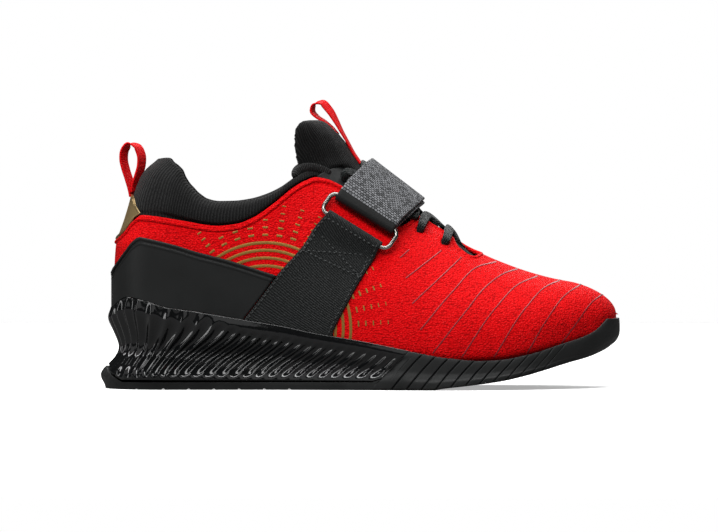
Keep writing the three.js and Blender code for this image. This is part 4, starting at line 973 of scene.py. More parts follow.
def make_bases():
    for side, name in ((-1, "strap_base_outer"), (1, "strap_base_inner")):
        bm = bmesh.new()
        grid(bm, 90, 170, base_place(side), flip=side > 0)
        add_piece(name + "_panel", bm, BASE_SKIN, "strap_base", [name], 1.0)


# Strap: webbing from the inner side over the instep, around the ring and back over itself. A row
# holds the sine of the turn around the section, the side and the height over the last.
RIDGE_WIDE = np.array([0.795, 0, -0.606])
INNER_WIDE = ring_long * (1, -1, 1)
STRAP_REAR = along(0.571) - upper_bar[0]
TURN_RADIUS = WIRE / 2 + GAP + 0.1 + STRAP_THICKNESS / 2
LAYER_ONE = (
    (0.5, 1, 3.8), (0.6, 1, 4), (0.7, 1, 4.8), (0.8, 1, 6), (0.88, 1, 6.7), (0.945, 1, 6.7), (0.985, 1, 6.5),
    (1, 1, 6.5), (0.985, -1, 6.5), (0.945, -1, 6.7), (0.89, -1, 6.6),
)
LAYER_TWO = (
    (0.89, -1, 8.7), (0.945, -1, 8.7), (0.985, -1, 8.5), (1, 1, 8.5), (0.985, 1, 8.5), (0.945, 1, 8.7),
    (0.88, 1, 8.7), (0.8, 1, 7.6), (0.7, 1, 6.7), (0.62, 1, 6.1),
)


def strap_point(h, side, grow):
    """A point of the strap's middle line and the direction of its width there."""
    x, z = upper_bar[0], upper_bar[2]
    start = clamp((z - widest_at(x)) / (ridge_at(x) + 8 - widest_at(x)))
    t = clamp((h - start) / (1 - start))
    x = x + STRAP_REAR * t - max(start - h, 0) * 25
    if side < 0:
        wide = mix(ring_long, RIDGE_WIDE, smooth(t))
    else:
        turned = clamp(1.5 * np.arcsin(h) / (math.pi / 2) - 0.5)
        wide = mix(INNER_WIDE, RIDGE_WIDE, mix(0.2, 1, turned))
    return np.array(surface(x, np.arcsin(h), side, grow), float), unit(wide)


def make_strap():
    stations = [strap_point(*row) for row in LAYER_ONE]
    turn_from = len(stations)
    for i in range(7):
        angle = math.pi * i / 6
        around = TURN_RADIUS * (ring_out * math.cos(angle) + ring_up * math.sin(angle))
        stations.append((upper_bar - around, ring_long))
    turn_to = len(stations) - 1
    stations += [strap_point(*row) for row in LAYER_TWO]
    runs = run_of(np.array([p for p, _ in stations]))
    path = spline([p for p, _ in stations])
    wide = spline([w for _, w in stations], runs)
    bm = bmesh.new()
    sweep(bm, path, wide, STRAP_WIDTH / 2, STRAP_THICKNESS / 2, 420, around=80)
    layer = bm.loops.layers.uv.active
    for face in bm.faces:
        along_strap = face.loops[0][layer].uv.y
        face.material_index = int(runs[turn_from] - 3 < along_strap < runs[turn_to] - 0.5)
    strap = add_piece("strap_webbing_band", bm, WEBBING, "strap_webbing", ["strap"])
    strap.data.materials.append(STRAP_LINING)


# Collar: a padded roll around the ankle opening, tucked inside the upper below its topline
COLLAR_FRONT = along(0.4315)
COLLAR_START = LAST_HEEL + 3

# The crest's line at the heel: distance from the heel's back, then height over the plain curve
COLLAR_CREST = (
    (28, 0), (32.8, -1.2), (36.2, 0.6), (39.5, -1.0), (43, -3.0),
    (46.8, -1.9), (50.5, 1.4), (54, 2.0), (58, 0.8), (64, 0),
)


def crest_at(x):
    """How far the padded edge at the heel stands above or below the plain curve, rounded over 5 mm."""
    near = [lookup(COLLAR_CREST, x + d) for d in (-2.4, -1.2, 0, 1.2, 2.4)]
    return sum(near) / len(near)


def collar_rows(x_top, side):
    """The pad's section: up the outside from the tuck, over the crest and down the inside."""
    top = collar_top_at(x_top) + crest_at(x_top + lean_shift(x_top, collar_top_at(x_top)))
    edge = topline_at(np.maximum(x_top, along(0.09)))
    tuck = WALL + 2 * GAP + 2 * smooth((x_top - along(0.385)) / along(0.02))
    proud = mix(0.9, -0.8, smooth((along(0.13) - x_top) / along(0.05)))
    proud = proud - 4 * smooth((x_top - along(0.38)) / along(0.03))
    rise = np.maximum(6, top - edge)
    pad = COLLAR_PAD
    rows = (
        (edge - 13, -tuck - 1.5), (edge - 7, -tuck), (edge + 0.3, -tuck),
        (edge + 0.3 + rise * 0.12, mix(-tuck, proud, 0.8)), (edge + rise * 0.4, proud),
        (edge + rise * 0.75, proud - 0.7), (top - 1, proud - 2.4), (top, -pad * 0.62),
        (top - 1.2, -pad * 1.02), (edge + rise * 0.7, -pad * 1.22), (edge, -pad * 1.3),
        (edge - 8, -pad * 1.15), (edge - 14, -pad * 0.8),
    )
    points = []
    for z, grow in rows:
        share = (COLLAR_FRONT - LAST_HEEL + grow) / (COLLAR_FRONT - COLLAR_START)
        x = LAST_HEEL - grow + (x_top - COLLAR_START) * share + 0.02
        points.append(stack(surface(x, turn_at(x, z, grow), side, grow)))
    return np.stack(points, 1)


def collar_place(s, t):
    """s runs along the opening from one front end round the heel to the other, t around the pad."""
    sigma = 2 * s - 1
    side = np.where(sigma < 0, -1.0, 1.0)
    x_top = mix(COLLAR_START, COLLAR_FRONT - 1, 1 - np.cos(np.abs(sigma) * math.pi / 2))
    rows = collar_rows(x_top, side)
    count = rows.shape[1]
    v = (t % 1.0) * count
    i = v.astype(int) % count
    f = (v - np.floor(v))[:, None]
    pick = np.arange(len(s))
    a, b, c, d = (rows[pick, (i + k) % count] for k in (-1, 0, 1, 2))
    p = 2 * b + (c - a) * f + (2 * a - 5 * b + 4 * c - d) * f ** 2 + (3 * b - a - 3 * c + d) * f ** 3
    close = end_round((1 - np.abs(sigma)) / 0.035, 2)[:, None]
    return np.moveaxis(mix(rows.mean(1), 0.5 * p, close), -1, 0)


def make_collar():
    bm = bmesh.new()
    grid(bm, 300, 104, collar_place, weld=True)
    bmesh.ops.recalc_face_normals(bm, faces=bm.faces)
    collar = add_piece("collar_pad", bm, COLLAR_KNIT, "collar_knit", ["collar"])


BINDING_LINE = (
    (108.4, 118), (110.2, 121.2), (113.4, 123.4), (117.6, 123.9),
    (121.6, 123.2), (125.6, 121.6), (129, 119.6),
)
BINDING_DEEP = -3.4
BINDING_HALF_WIDTH = 3.7
BINDING_HALF_THICK = 1.5


def make_binding():
    """The knitted band over the collar's front ends, where they meet the tongue."""
    bm = bmesh.new()
    for side in (-1, 1):
        path = spline([stack(on_side(x, z, side, BINDING_DEEP)) for x, z in BINDING_LINE])

        def wide(t):
            return np.broadcast_to(np.array([0, 0.35 * side, 1.0]), (len(t), 3))
        sweep(bm, path, wide, BINDING_HALF_WIDTH, BINDING_HALF_THICK, 70, around=30, crown=0.4, taper=0.08)
    binding = add_piece("collar_front_binding", bm, BINDING_KNIT, "collar_knit")


# Tongue: the line runs along its middle from the throat's front to its top
TONGUE_LINE = (
    (219, 67.6), (209, 74.4), (196, 85.2), (183, 95), (165, 108.2), (153, 118.4), (146, 126.2), (142, 131.7),
    (138.4, 136.8), (134, 142.2), (130.3, 146), (127, 148.8), (124, 150.3),
)


TONGUE_MIDDLE = float(across_at(along(0.45)))
TONGUE_VOXEL = 0.001
TONGUE_PASSES = 9
TONGUE_CORNER = (111.5, 145)
TONGUE_CORNER_DROP = 0.3


def make_tongue():
    """The tongue's pad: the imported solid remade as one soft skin."""
    source = next(o for o in bpy.data.objects if o.name.split(".")[0] == "tongue")
    bm = bmesh.new()
    bm.from_mesh(source.data)
    bmesh.ops.remove_doubles(bm, verts=bm.verts, dist=1e-6)
    tongue = add_piece("tongue_pad", bm, TONGUE_KNIT, "tongue_knit", ["tongue"])
    remesh = tongue.modifiers.new("skin", "REMESH")
    remesh.mode = "VOXEL"
    remesh.voxel_size = TONGUE_VOXEL
    made = bpy.data.meshes.new_from_object(tongue.evaluated_get(bpy.context.evaluated_depsgraph_get()))
    tongue.modifiers.clear()
    bm = bmesh.new()
    bm.from_mesh(made)
    for _ in range(TONGUE_PASSES):
        bmesh.ops.smooth_vert(
            bm, verts=bm.verts, factor=0.5, use_axis_x=True, use_axis_y=True, use_axis_z=True)
    points = np.array([v.co for v in bm.verts]) * 1000 + (HEEL_REST, 0, 0)
    drop = bead(points[:, 0], TONGUE_CORNER_DROP, TONGUE_CORNER[0], 4)
    points[:, 2] -= drop * bead(points[:, 2], 1, TONGUE_CORNER[1], 5)
    for vert, point in zip(bm.verts, to_metres(points)):
        vert.co = point
    spine = spline(TONGUE_LINE)(np.linspace(0, 1, 240))
    near = np.argmin(np.hypot(points[:, None, 0] - spine[:, 0], points[:, None, 2] - spine[:, 1]), axis=1)
    behind = np.hypot(points[:, 0] - spine[near, 0], points[:, 2] - spine[near, 1])
    across = points[:, 1] - TONGUE_MIDDLE
    around_and_along = np.stack((across + np.sign(across) * behind, run_of(spine)[near]), -1)
    layer = bm.loops.layers.uv.verify()
    for face in bm.faces:
        face.smooth = True
        for loop in face.loops:
            loop[layer].uv = around_and_along[loop.vert.index]
    bm.to_mesh(tongue.data)
    bm.free()


# Sole: an outline around the last; walls with slanted ribs behind and thin slits in front
SOLE_MARGIN = 1.8
SPLIT = along(0.575)
SLITS_END = along(0.88)
SLANT = 0.8
RIB_DEPTH_REAR = 2.3
RIB_DEPTH_FRONT = 1.3
RIB_POWER = 1.1
SLIT_DEPTH = 1.3
SLIT_HALF = 0.5
BAND_DEPTH = 0.7
LUG_GROOVE_RISE = 0.9
LUG_GROOVE_HALF = 0.7
TOE_RIM_LIFT = 1.9
TOE_RIM_FROM = 283
BAND_FROM = 168
BAND_TOP = 0.24
FOOT_OF_RIBS = 5.0
WALL_ROWS = {"heel": 90, "tread": 50}
around_x = LAST_HEEL - SOLE_MARGIN + (LAST_TOE - LAST_HEEL + 2 * SOLE_MARGIN) * (
    1 - np.cos(np.linspace(0, math.pi, 481))) / 2
outline_half = section(around_x, SOLE_MARGIN)[0]


class Outline:
    """One side of the sole's outline, by the distance walked from the heel."""
    def __init__(self, side):
        self.side = side
        self.points = np.stack((around_x, centre_at(around_x) + side * outline_half), -1)
        self.runs = run_of(self.points)
        self.total = self.runs[-1]

    def run_at(self, x):
        return np.interp(x, self.points[:, 0], self.runs)

    def place(self, run):
        """Past either end the outline goes on round to the other side."""
        r = np.abs(run)
        x, y = np.moveaxis(walk(self.points, self.runs, np.minimum(r, 2 * self.total - r)), -1, 0)
        turned = (run < 0) | (run > self.total)
        return x, np.where(turned, 2 * centre_at(x) - y, y)

    def at(self, run):
        """The place at this distance, and the outward direction there."""
        x, y = self.place(run)
        ahead = self.place(run + 1.5)
        behind = self.place(run - 1.5)
        way = ahead[0] - behind[0], ahead[1] - behind[1]
        long = np.maximum(np.hypot(*way), 1e-6)
        return x, y, -self.side * way[1] / long, self.side * way[0] / long


def slant(x):
    """How far the ribs and slits lean forward over the wall's height, as a share of that height."""
    return SLANT * smooth((x - along(0.02)) / along(0.2)) * (1 - smooth((x - along(0.86)) / along(0.08)))


outer_line = Outline(-1)
inner_line = Outline(1)
slit_start = outer_line.run_at(SPLIT)
slit_end = outer_line.run_at(SLITS_END)

# Where the wall's columns stand on the outer side: fine everywhere, finest at the slits
columns = np.concatenate((
    np.arange(0, slit_start, RIB_PITCH / 10), np.arange(slit_start, slit_end, SLIT_PITCH / 24),
    np.linspace(slit_end, outer_line.total, 60),
))


def wall_point(line, run, rise):
    """A point of the sole's wall; run is the outer side's distance from the heel, rise the share
    of the wall's height."""
    own = run * line.total / outer_line.total
    base = line.at(own)[0]
    heelward = 1 - smooth((base - 140) / 30)
    swing = rise - 0.5 + 0.1 * heelward * np.sin(2 * math.pi * (rise - 0.5))
    moved = np.clip(own + slant(base) * rim_at(base) * swing * np.minimum(own / 8, 1), 0, line.total)
    x, y, nx, ny = line.at(moved)
    z = mix(tread_at(x), rim_at(x), rise)
    places = np.array([along(v) for v in WALL_PLACES])
    k = np.clip(np.searchsorted(places, x) - 1, 0, 2)
    share = smooth((x - places[k]) / (places[k + 1] - places[k]))
    near = (-0.05, -0.025, 0, 0.025, 0.05)
    rows = np.stack([sum(wall(clamp(rise + d * heelward)) for d in near) / len(near) for wall in wall_at])
    pick = np.arange(len(x))
    out = mix(rows[k, pick], rows[k + 1, pick], share)
    rib = np.abs(np.sin(math.pi * (run / RIB_PITCH - 0.25))) ** RIB_POWER
    depth = mix(RIB_DEPTH_REAR, RIB_DEPTH_FRONT, smooth(x / 170)) * rib
    fade = mix(0.9, 0.7, smooth((x - 40) / 50))
    depth = depth * smooth((z - FOOT_OF_RIBS) / 7.5) * (1 - smooth((rise - fade) / 0.17))
    phase = ((run - slit_start) % SLIT_PITCH) / SLIT_PITCH
    cut = bead((phase - 0.5) * SLIT_PITCH, SLIT_DEPTH, 0, SLIT_HALF, 4)
    cut = cut * smooth((rise + 0.02) / 0.05) * (1 - smooth((rise - 0.9) / 0.08)) * (base < SLITS_END)
    band = BAND_DEPTH * smooth((x - BAND_FROM) / 12) * (1 - smooth((rise - BAND_TOP) / 0.06))
    out = out + band * smooth((284 - x) / 20)
    out = out - np.where(run < slit_start, depth, cut)
    groove = sum(bead(x, LUG_GROOVE_RISE, centre, LUG_GROOVE_HALF, 4) for centre in LUG_GROOVES)
    z = np.maximum(z, np.where(rise < 0.2, groove, 0))
    z = z + TOE_RIM_LIFT * smooth((x - TOE_RIM_FROM) / 5) * smooth((rise - 0.6) / 0.4)
    return np.stack((x + nx * out, y + ny * out, z), -1)


def seam_rise(line, run):
    """The share of the wall's height at which the glossy piece meets the rubber."""
    def under(rise):
        p = wall_point(line, run, rise)
        return p[:, 2] < lookup(SEAM, p[:, 0])
    return halve(np.zeros_like(run), np.ones_like(run), 22, under)


# Shares of a column's rows: up to here it runs under the sole, up the wall, and in over its ledge
UNDER_END = 0.15
WALL_END = 0.8
LEDGE_END = 0.88
LEDGE_WIDTH = 2.4
SEAM_HALF = 0.012
SOLE_FROM = 22
SOLE_TO = 268
SEAM_LOW = 4.7
RIM_SHARE = 0.98


def sole_place(line, part, runs):
    """part is 'heel' for the glossy piece above the seam, 'tread' for the rubber below it."""
    def place(s, t):
        run = np.interp(s, np.linspace(0, 1, len(runs)), runs)
        split = seam_rise(line, run)
        split_outer = seam_rise(outer_line, run)
        if part == "tread":
            start, end = 0 * run, split - SEAM_HALF
            first, last = 0 * run, split_outer - SEAM_HALF
        else:
            start, end = split + SEAM_HALF, np.ones_like(run)
            first, last = split_outer + SEAM_HALF, np.ones_like(run)
        end = np.maximum(end, start + 0.001)
        last = np.maximum(last, first + 0.001)
        low = wall_point(line, run, start)
        wall = wall_point(line, run, mix(start, end, clamp((t - UNDER_END) / (WALL_END - UNDER_END))))
        top = wall_point(line, run, end)
        low_x = np.clip(wall_point(outer_line, run, first)[:, 0], SOLE_FROM, SOLE_TO)
        top_x = np.clip(wall_point(outer_line, run, last)[:, 0], SOLE_FROM, SOLE_TO)
        under = np.stack((low_x, centre_at(low_x), tread_at(low_x)), -1)
        over = np.stack((top_x, centre_at(top_x), bottom_at(top_x) - GAP - 0.2), -1)
        if part == "heel":
            under[:, 2] = np.maximum(lookup(SEAM, low_x), SEAM_LOW) + 0.3
        else:
            seam = np.maximum(lookup(SEAM, top_x), SEAM_LOW) - 0.3
            over[:, 2] = np.where(split < RIM_SHARE, seam, over[:, 2])
        inward = unit(np.stack((top_x - top[:, 0], centre_at(top_x) - top[:, 1], 0 * run), -1))
        inner = top + inward * LEDGE_WIDTH
        inner[:, 2] = top[:, 2] - np.where(end > RIM_SHARE, 0.35, 0)
        sole = mix(under, low, clamp(t / UNDER_END)[:, None])
        ledge = mix(top, inner, clamp((t - WALL_END) / (LEDGE_END - WALL_END))[:, None])
        inside = mix(inner, over, clamp((t - LEDGE_END) / (1 - LEDGE_END))[:, None])
        ends = [(t < end_share)[:, None] for end_share in (UNDER_END, WALL_END, LEDGE_END)]
        return np.moveaxis(np.select(ends, (sole, wall, ledge), inside), -1, 0)
    return place


def make_sole():
    """The glossy piece ends where the seam has climbed to the rim; the rubber goes all along."""
    heel_end = columns[np.argmax(seam_rise(outer_line, columns) > 0.985)]
    heel_columns = columns[columns <= heel_end]
    parts = (
        ("heel", "midsole", TPU, "heel_tpu", heel_columns),
        ("tread", "outsole", RUBBER, "outsole_rubber", columns),
    )
    for part, name, material, slot, runs in parts:
        bm = bmesh.new()
        for line, inner in ((outer_line, False), (inner_line, True)):
            grid(bm, len(runs) - 1, WALL_ROWS[part], sole_place(line, part, runs), flip=inner, weld=inner)
        close_shell(bm)
        add_piece(name + "_shell", bm, material, slot, [name])


# Laces: flat braid over the throat; each run comes up out of one eyelet and goes down into another
LACE_FRONT_END = (205.0, 73.5)
FRONT_SHARES = (0.52, 0.88)
SHARES_BEHIND = (0.85, 0.95, 0, 0.85)


def lace(bm, points, narrow=0.85):
    """A braid through points with outward directions; it is widest in its middle."""
    runs = run_of(np.array([p for p, _ in points]))
    path = spline([p for p, _ in points])
    ups = spline([n for _, n in points], runs)

    def wide(t):
        return unit(np.cross(ups(t), way_of(path, t)))

    def half(t):
        return LACE_WIDTH / 2 * mix(narrow, 1.12, smooth(np.minimum(t, 1 - t) / 0.3))
    sweep(bm, path, wide, half, LACE_THICKNESS / 2, 130, around=30, crown=0.3, taper=0.03)


def over_tongue(x):
    """How much higher the laces ride where the tongue lies under them."""
    return 1.3 * smooth((along(0.575) - x) / along(0.035))


def on_ridge(x, grow):
    p = np.array(surface(x, math.pi / 2, 1, grow), float)
    return p, unit(np.array((-ridge_slope(x), 0, 1.0)))


def lace_run(bm, start, end, first, last, deep=0.0, climb=0.24):
    """From one eyelet over the ridge to another; first and last are the shares of the way between
    which it rides the ridge, deep lowers its far end, and climb is where it stands up beside it."""
    def beside(x, side, h, grow):
        _, widest, top, _ = section(x, 0)
        point, normal = skin(x, widest + top * h, side, grow + over_tongue(x))
        return point, unit(normal + np.array((0, 0.9 * side, 0)))

    def crest(share, grow, tilt):
        x = mix(start[0], end[0], share)
        point, normal = on_ridge(x, grow + over_tongue(x))
        return point, unit(normal + np.array((0, tilt, 0)))
    out_of = skin(start[0], start[1], -1, 0)[1]
    into = skin(end[0], end[1], 1, 0)[1]
    points = [
        (skin(start[0] - 0.8, start[1] - 2.4, -1, -4.4)[0], out_of),
        (skin(start[0] - 0.4, start[1] - 1.0, -1, -0.4)[0], out_of),
        (skin(start[0] + 0.6, start[1] + 1.6, -1, 2.0)[0], out_of),
        beside(mix(start[0], end[0], first * climb), -1, 0.95, 2.2),
        crest(first, 1.7, -0.3),
        crest(last, 0.9 - deep * 0.9, 0.0),
        beside(mix(start[0], end[0], mix(last, 1, 0.7)), 1, 0.92, 1.2),
        (skin(end[0], end[1] + 1.4, 1, 1.7 - deep)[0], into),
        (skin(end[0], end[1] - 0.8, 1, -0.6 - deep)[0], into),
        (skin(end[0] - 0.4, end[1] - 2.4, 1, -4.4)[0], into),
    ]
    lace(bm, points)


def make_laces():
    bm = bmesh.new()
    for i in range(len(EYELETS) - 1):
        lace_run(bm, EYELETS[i + 1], EYELETS[i], *(SHARES_BEHIND if i else FRONT_SHARES))
    lace_run(bm, EYELETS[0], LACE_FRONT_END, 0.4, 0.72, 2.6)
    for i in range(len(EYELETS) - 2):
        under_lace(bm, EYELETS[i], EYELETS[i + 1])
    add_piece("laces_braid", bm, BRAID, "lace", ["laces"])


def under_lace(bm, start, end):
    """The hidden way back: under the facings and across the tongue."""
    middle = (start[0] + end[0]) / 2
    points = [
        skin(start[0], start[1] - 1.5, -1, -3.9),
        skin(mix(start[0], middle, 0.5), mix(start[1], ridge_at(middle), 0.55), -1, -2.6),
        on_ridge(middle, 0.3 + over_tongue(middle)),
        skin(mix(end[0], middle, 0.5), mix(end[1], ridge_at(middle), 0.55), 1, -2.6),
        skin(end[0], end[1] - 1.5, 1, -3.9),
    ]
    lace(bm, points, 0.9)


# Loops of ribbon at the heel and on the tongue, and the strip up the back
HEEL_LOOP_LINE = (
    (18.2, 107.6), (17.4, 111.5), (15.8, 117), (13.9, 123), (12.8, 128.4), (13.6, 133.8), (16.2, 136.8),
    (19.9, 135.8), (22.6, 131), (22.7, 125), (20.9, 118.6), (19.3, 113.6), (18.9, 109.8),
)
RIBBON_HALF_THICK = 0.5
TONGUE_LOOP_LINE = (
    (145.8, 126), (141.8, 131.9), (138.6, 137.8), (135.3, 143.6), (131.9, 150), (128, 156.2), (123.8, 160.1),
    (119.8, 159), (118.8, 155.4), (121.4, 152.2), (125.4, 149.7), (129.6, 146.3), (133.2, 142.1),
)


def make_loop(name, line, y, wide, turned, width):
    """A ribbon folded into a loop; it turns a little towards the side where it folds."""
    path = spline([(x, y, z) for x, z in line])

    def across(t):
        fold = bead(t, 1, 0.56, 0.2)[:, None]
        return unit(mix(np.array(wide, float), np.array(turned, float), fold))
    bm = bmesh.new()
    sweep(bm, path, across, width / 2, RIBBON_HALF_THICK, 160, around=32)
    add_piece(name + "_ribbon", bm, RIBBON, "ribbon", [name])


# The tab's front edge: height, then distance from the heel's back
TAB_FRONT = ((83.2, 7.9), (88.9, 14), (96.2, 19.6), (98.4, 23), (103, 19.8), (107, 18.4), (108.4, 16.5))
TAB_BOTTOM = 83.4
TAB_TOP = 108.3
TAB_HALF_WIDTH = 14
TAB_THICKNESS = 0.9
TAB_PROUD = 0.35


def make_tab():
    """The pointed strip of film wrapped around the back, with a low rim."""
    def place(s, t):
        side = np.where(s < 0.5, 1.0, -1.0)
        z = mix(TAB_BOTTOM, TAB_TOP, t)
        start = LAST_HEEL - 0.8 + lean_at(z)
        x = mix(start, lookup(TAB_FRONT, z), np.abs(2 * s - 1) ** 1.6)
        near = (1 - np.abs(2 * s - 1)) * TAB_HALF_WIDTH
        rim = bead(near, *TAB_RIM, 4) - 0.5 * (1 - end_round(near / 0.5, 2))
        return on_side(x, z, side, TAB_PROUD + rim)
    bm = bmesh.new()
    grid(bm, 90, 60, place)
    add_piece("heel_tab_strip", bm, TAB_FILM, "heel_tab", ["heel_tab"], TAB_THICKNESS)


INSOLE_CUP = 1.2


def make_insole():
    """The insole's board: flat below, its top raised a little towards both sides."""
    inside = -WALL - 2 * GAP - 0.1

    def place(s, t):
        x = mix(LAST_HEEL - inside, LAST_TOE + inside, (1 - np.cos(math.pi * s)) / 2)
        z = bottom_at(x) + INSOLE_THICKNESS * 0.9
        edge = turn_at(x, z, inside)
        left = surface(x, edge, -1, inside)
        right = surface(x, edge, 1, inside)
        low = bottom_at(x) + 0.4
        up = np.where(t < 0.5, 1.0, 0.0)
        v = np.where(t < 0.5, t * 2, 2 - t * 2)
        y = mix(left[1], right[1], v)
        side = end_round(np.minimum(v, 1 - v) / 0.06, 2)
        cup = INSOLE_CUP * (2 * v - 1) ** 4
        height = mix(low, z + cup, up)
        return x + lean_shift(x, z), y, mix((low + z) / 2, height, side)
    bm = bmesh.new()
    grid(bm, 150, 80, place, weld=True)
    bmesh.ops.recalc_face_normals(bm, faces=bm.faces)
    add_piece("insole_board", bm, JERSEY, "insole_cloth", ["insole"])


# Film prints on the upper: arcs and dashes around one centre, and plain parallel lines in front
ARC_CENTRE = (92.6, 34.4)
ARC_RADII = (47.7, 43.5, 39.2, 34.8)
DASH_RADII = (52.05, 56.2, 60.4, 64.5, 68.7)
DASH_STEP = 8.7
FOREFOOT_LINES = (
    ((167.8, 73.7), (172.9, 78.1)), ((171, 62.4), (191, 77.6)), ((174.6, 48.4), (202.1, 73.7)),
    ((179.1, 33.8), (198, 56), (210.6, 68.1), (221.8, 70.9)),
    ((185.8, 20.6), (205, 44.8), (216.2, 58), (227.4, 65.2), (234, 66.9)),
    ((202.1, 18.6), (221.8, 46.7), (234, 58.7), (245.1, 63)),
    ((220.1, 18.6), (238.7, 46.7), (248.8, 56.9), (258.3, 60.8)),
    ((238.7, 20.6), (249.9, 39.4), (261.1, 53.2), (270.1, 58.5)),
    ((258.3, 26.2), (266.7, 37.2), (276.8, 49.5), (282.4, 52.9)),
)
ARC_WIDTH = 1.6
DASH_WIDTH = 1.2
DASH_LENGTH = 3.2
LINE_WIDTH = 0.7
FILM_PROUD = 0.16
LINE_PROUD = 0.12


def arc_line(radius, turns):
    return np.stack((ARC_CENTRE[0] + radius * np.cos(turns), ARC_CENTRE[1] + radius * np.sin(turns)), -1)


def film_strip(bm, line, side, width, steps, grow=FILM_PROUD):
    """A thin printed strip on the upper, along a side-view line."""
    path = spline(line)

    def place(s, t):
        p = path(t)
        way = way_of(path, t, 0.01)
        x = p[:, 0] - way[:, 1] * (s - 0.5) * width
        z = p[:, 1] + way[:, 0] * (s - 0.5) * width
        return on_side(x, z, side, grow + 0.12 * np.sin(math.pi * s))
    grid(bm, 4, steps, place, flip=side < 0)


def make_prints():
    """Arcs, rows of shrinking dashes outside them, and the lines in front, on both sides."""
    arcs = bmesh.new()
    for side in (-1, 1):
        for radius in ARC_RADII:
            line = arc_line(radius, np.radians(np.linspace(129, -7, 60)))
            film_strip(arcs, line, side, ARC_WIDTH, 140)
        for row, radius in enumerate(DASH_RADII):
            for k in range(-11, 5):
                middle = 90 + DASH_STEP * k
                long = (DASH_LENGTH - 0.28 * row) / radius
                wide = (DASH_WIDTH - 0.14 * row) * (0.7 if middle < 20 else 1)
                line = arc_line(radius, math.radians(middle) + np.array([0.5, 0.25, 0, -0.25, -0.5]) * long)
                x, z = line[2]
                if 28 < z < topline_at(x) - 4 and z > rim_at(x) + 3:
                    film_strip(arcs, line, side, wide, 6)
    add_piece("film_arcs", arcs, GOLD, "heel_tab")
    lines = bmesh.new()
    for side in (-1, 1):
        for line in FOREFOOT_LINES:
            film_strip(lines, line, side, LINE_WIDTH, 60, LINE_PROUD)
    add_piece("film_lines", lines, LINE_FILM, "ring_wire")


# Stitches: short threads laid along side-view lines
STITCH_LENGTH = 2.0
STITCH_PITCH = 2.9
THREAD_RADIUS = 0.46
SEAM_EDGES = (0.04, 0.955)
BASE_BOX = ((121.6, 88.4), (150.2, 75.2), (145.6, 62.8), (113.8, 77.8), (121.6, 88.4))


def stitch_row(bm, points, normals):
    """Stitches along a line of points; each is a long thin bead of thread."""
    runs = run_of(points)
    for run in np.arange(STITCH_PITCH / 2, runs[-1], STITCH_PITCH):
        p = walk(points, runs, run)
        way = unit(walk(points, runs, run + 0.4) - p)
        n = walk(normals, runs, run)
        n = unit(n - way * n.dot(way))
        turn = Matrix(np.stack((way, np.cross(n, way), n), -1).tolist()).to_4x4()
        size = Matrix.Diagonal((STITCH_LENGTH / 2000, THREAD_RADIUS / 1000, THREAD_RADIUS / 1000, 1))
        bmesh.ops.create_uvsphere(bm, u_segments=8, v_segments=5, radius=1.0,
                                  matrix=Matrix.Translation(to_metres(p)) @ turn @ size)


def on_panel(place, s, t, lift):
    """A line on a bent panel, with its outward normals."""
    p = stack(place(s, t))
    ds = stack(place(s + 0.004, t)) - p
    dt = stack(place(s, t + 0.004)) - p
    normal = unit(np.cross(ds, dt))
    return p + normal * lift, normal


def make_stitches():
    """Seams down both edges of each base and under the outer one's hem, and its crossed box."""
    bm = bmesh.new()
    outer = base_place(-1)
    inner = base_place(1)
    t = np.linspace(0.01, HEM - 0.02, 120)
    for edge in SEAM_EDGES:
        stitch_row(bm, *on_panel(outer, np.full(120, edge), t, 0.1))
        p, n = on_panel(inner, np.full(120, edge), np.linspace(0.01, 0.97, 120), 0.1)
        stitch_row(bm, p + n * -0.2, -n)
    p, n = on_panel(outer, np.linspace(0.05, 0.95, 120), np.full(120, HEM - 0.045), 0.1)
    stitch_row(bm, p, n)
    box = list(zip(BASE_BOX[:-1], BASE_BOX[1:])) + [(BASE_BOX[0], BASE_BOX[2]), (BASE_BOX[1], BASE_BOX[3])]
    for start, end in box:
        x = np.linspace(start[0], end[0], 40)
        z = np.linspace(start[1], end[1], 40)
        p, n = skin(x, z, -1.0, GAP + BASE_THICKNESS + 0.1)
        stitch_row(bm, p, n)
    add_piece("base_stitches", bm, THREAD, "strap_base")


make_upper()
make_edge_roll()
make_facing(-1, "facing_outer")
make_facing(1, "facing_inner")
make_counter()
make_bases()
make_ring()
make_strap()
make_collar()
make_binding()
make_tongue()
make_sole()
make_laces()
make_loop("heel_loop", HEEL_LOOP_LINE, 0.0, (0.42, 0.91, 0), (0.46, 0.89, 0), HEEL_LOOP_WIDTH)
make_loop("tongue_loop", TONGUE_LOOP_LINE, TONGUE_MIDDLE, (0.1, 1, 0.05), (0.4, 0.9, 0.2), TONGUE_LOOP_WIDTH)
make_tab()
make_insole()
make_prints()
make_stitches()


# Floor, lights and camera, in metres
SHOE_MIDDLE = (0.10187, 0, 0.0692)
CAMERA_AIM = (SHOE_MIDDLE[0], 0, 0.0684)
CAMERA_RISE = math.radians(1.1)
CAMERA_DISTANCE = 6.0
CAMERA_LENS = 536.0
WHITE = (1, 1, 1, 1)


def point_at(obj, place, target):
    way = Vector(target) - Vector(place)
    turn = way.to_track_quat("-Z", "Y").to_matrix().to_4x4()
    obj.matrix_world = Matrix.Translation(place) @ turn


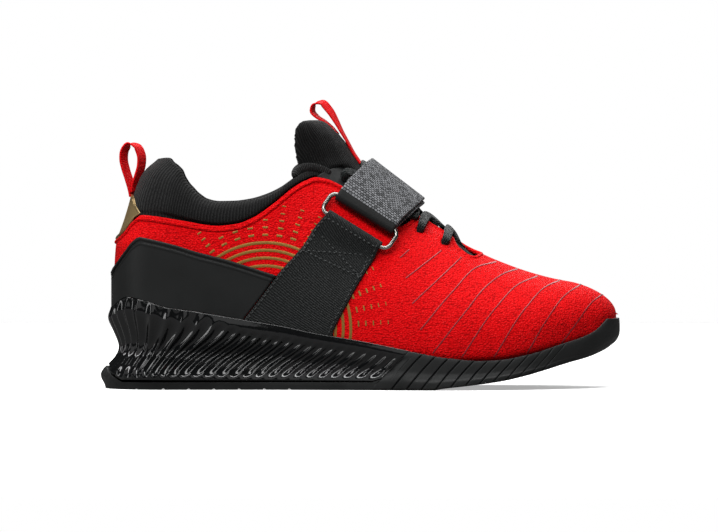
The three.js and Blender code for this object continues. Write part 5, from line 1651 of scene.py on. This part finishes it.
def soft_light(name, place, width, height, watts, mirrored=True):
    """A soft box that faces the shoe; one that is not mirrored gives light but no reflection."""
    light = bpy.data.lights.new(name, "AREA")
    light.shape = "RECTANGLE"
    light.size = width
    light.size_y = height
    light.energy = watts
    obj = bpy.data.objects.new(name, light)
    obj.visible_glossy = mirrored
    bpy.context.scene.collection.objects.link(obj)
    point_at(obj, place, SHOE_MIDDLE)


floor_bm = bmesh.new()
bmesh.ops.create_grid(floor_bm, x_segments=2, y_segments=2, size=1.5)
floor_mesh = bpy.data.meshes.new("studio_floor")
floor_bm.to_mesh(floor_mesh)
floor_bm.free()
floor_mesh.materials.append(studio_paper())
floor = bpy.data.objects.new("studio_floor", floor_mesh)
bpy.context.scene.collection.objects.link(floor)

soft_light("front_top_box", (-0.25, -1.05, 1.35), 1.6, 0.6, 26, mirrored=False)
soft_light("front_top_strip", (-0.2, -1.1, 1.25), 1.6, 0.16, 8)
soft_light("front_card", (0.1, -1.25, 0.6), 1.7, 0.55, 1.6)
soft_light("overhead_box", (0.1, 0.15, 1.3), 1.5, 0.9, 20)
soft_light("back_box", (0.3, 1.3, 0.8), 1.2, 0.5, 6)
soft_light("left_strip", (-1.1, -0.45, 0.35), 0.2, 0.8, 2)

# The backdrop is white where it is seen, and gives the shoe only a little light
world = bpy.data.worlds.new("studio")
bpy.context.scene.world = world
world.use_nodes = True
backdrop = node(world, "Background", {"Color": WHITE})
ambient = node(world, "Background", {"Color": WHITE, "Strength": 0.05})
seen = node(world, "LightPath", out="Is Camera Ray")
both = node(world, "MixShader", {0: seen, 1: ambient, 2: backdrop})
world.node_tree.nodes.remove(world.node_tree.nodes["Background"])
world.node_tree.links.new(both, world.node_tree.nodes["World Output"].inputs["Surface"])
bpy.context.scene.view_settings.view_transform = "Standard"

camera_data = bpy.data.cameras.new("camera")
camera_data.lens = CAMERA_LENS
camera_data.sensor_width = 36.0
camera_data.clip_end = 20.0
camera = bpy.data.objects.new("camera", camera_data)
bpy.context.scene.collection.objects.link(camera)
camera_back = CAMERA_DISTANCE * math.cos(CAMERA_RISE)
camera_up = CAMERA_DISTANCE * math.sin(CAMERA_RISE)
point_at(camera, (CAMERA_AIM[0], -camera_back, CAMERA_AIM[2] + camera_up), CAMERA_AIM)
bpy.context.scene.camera = camera
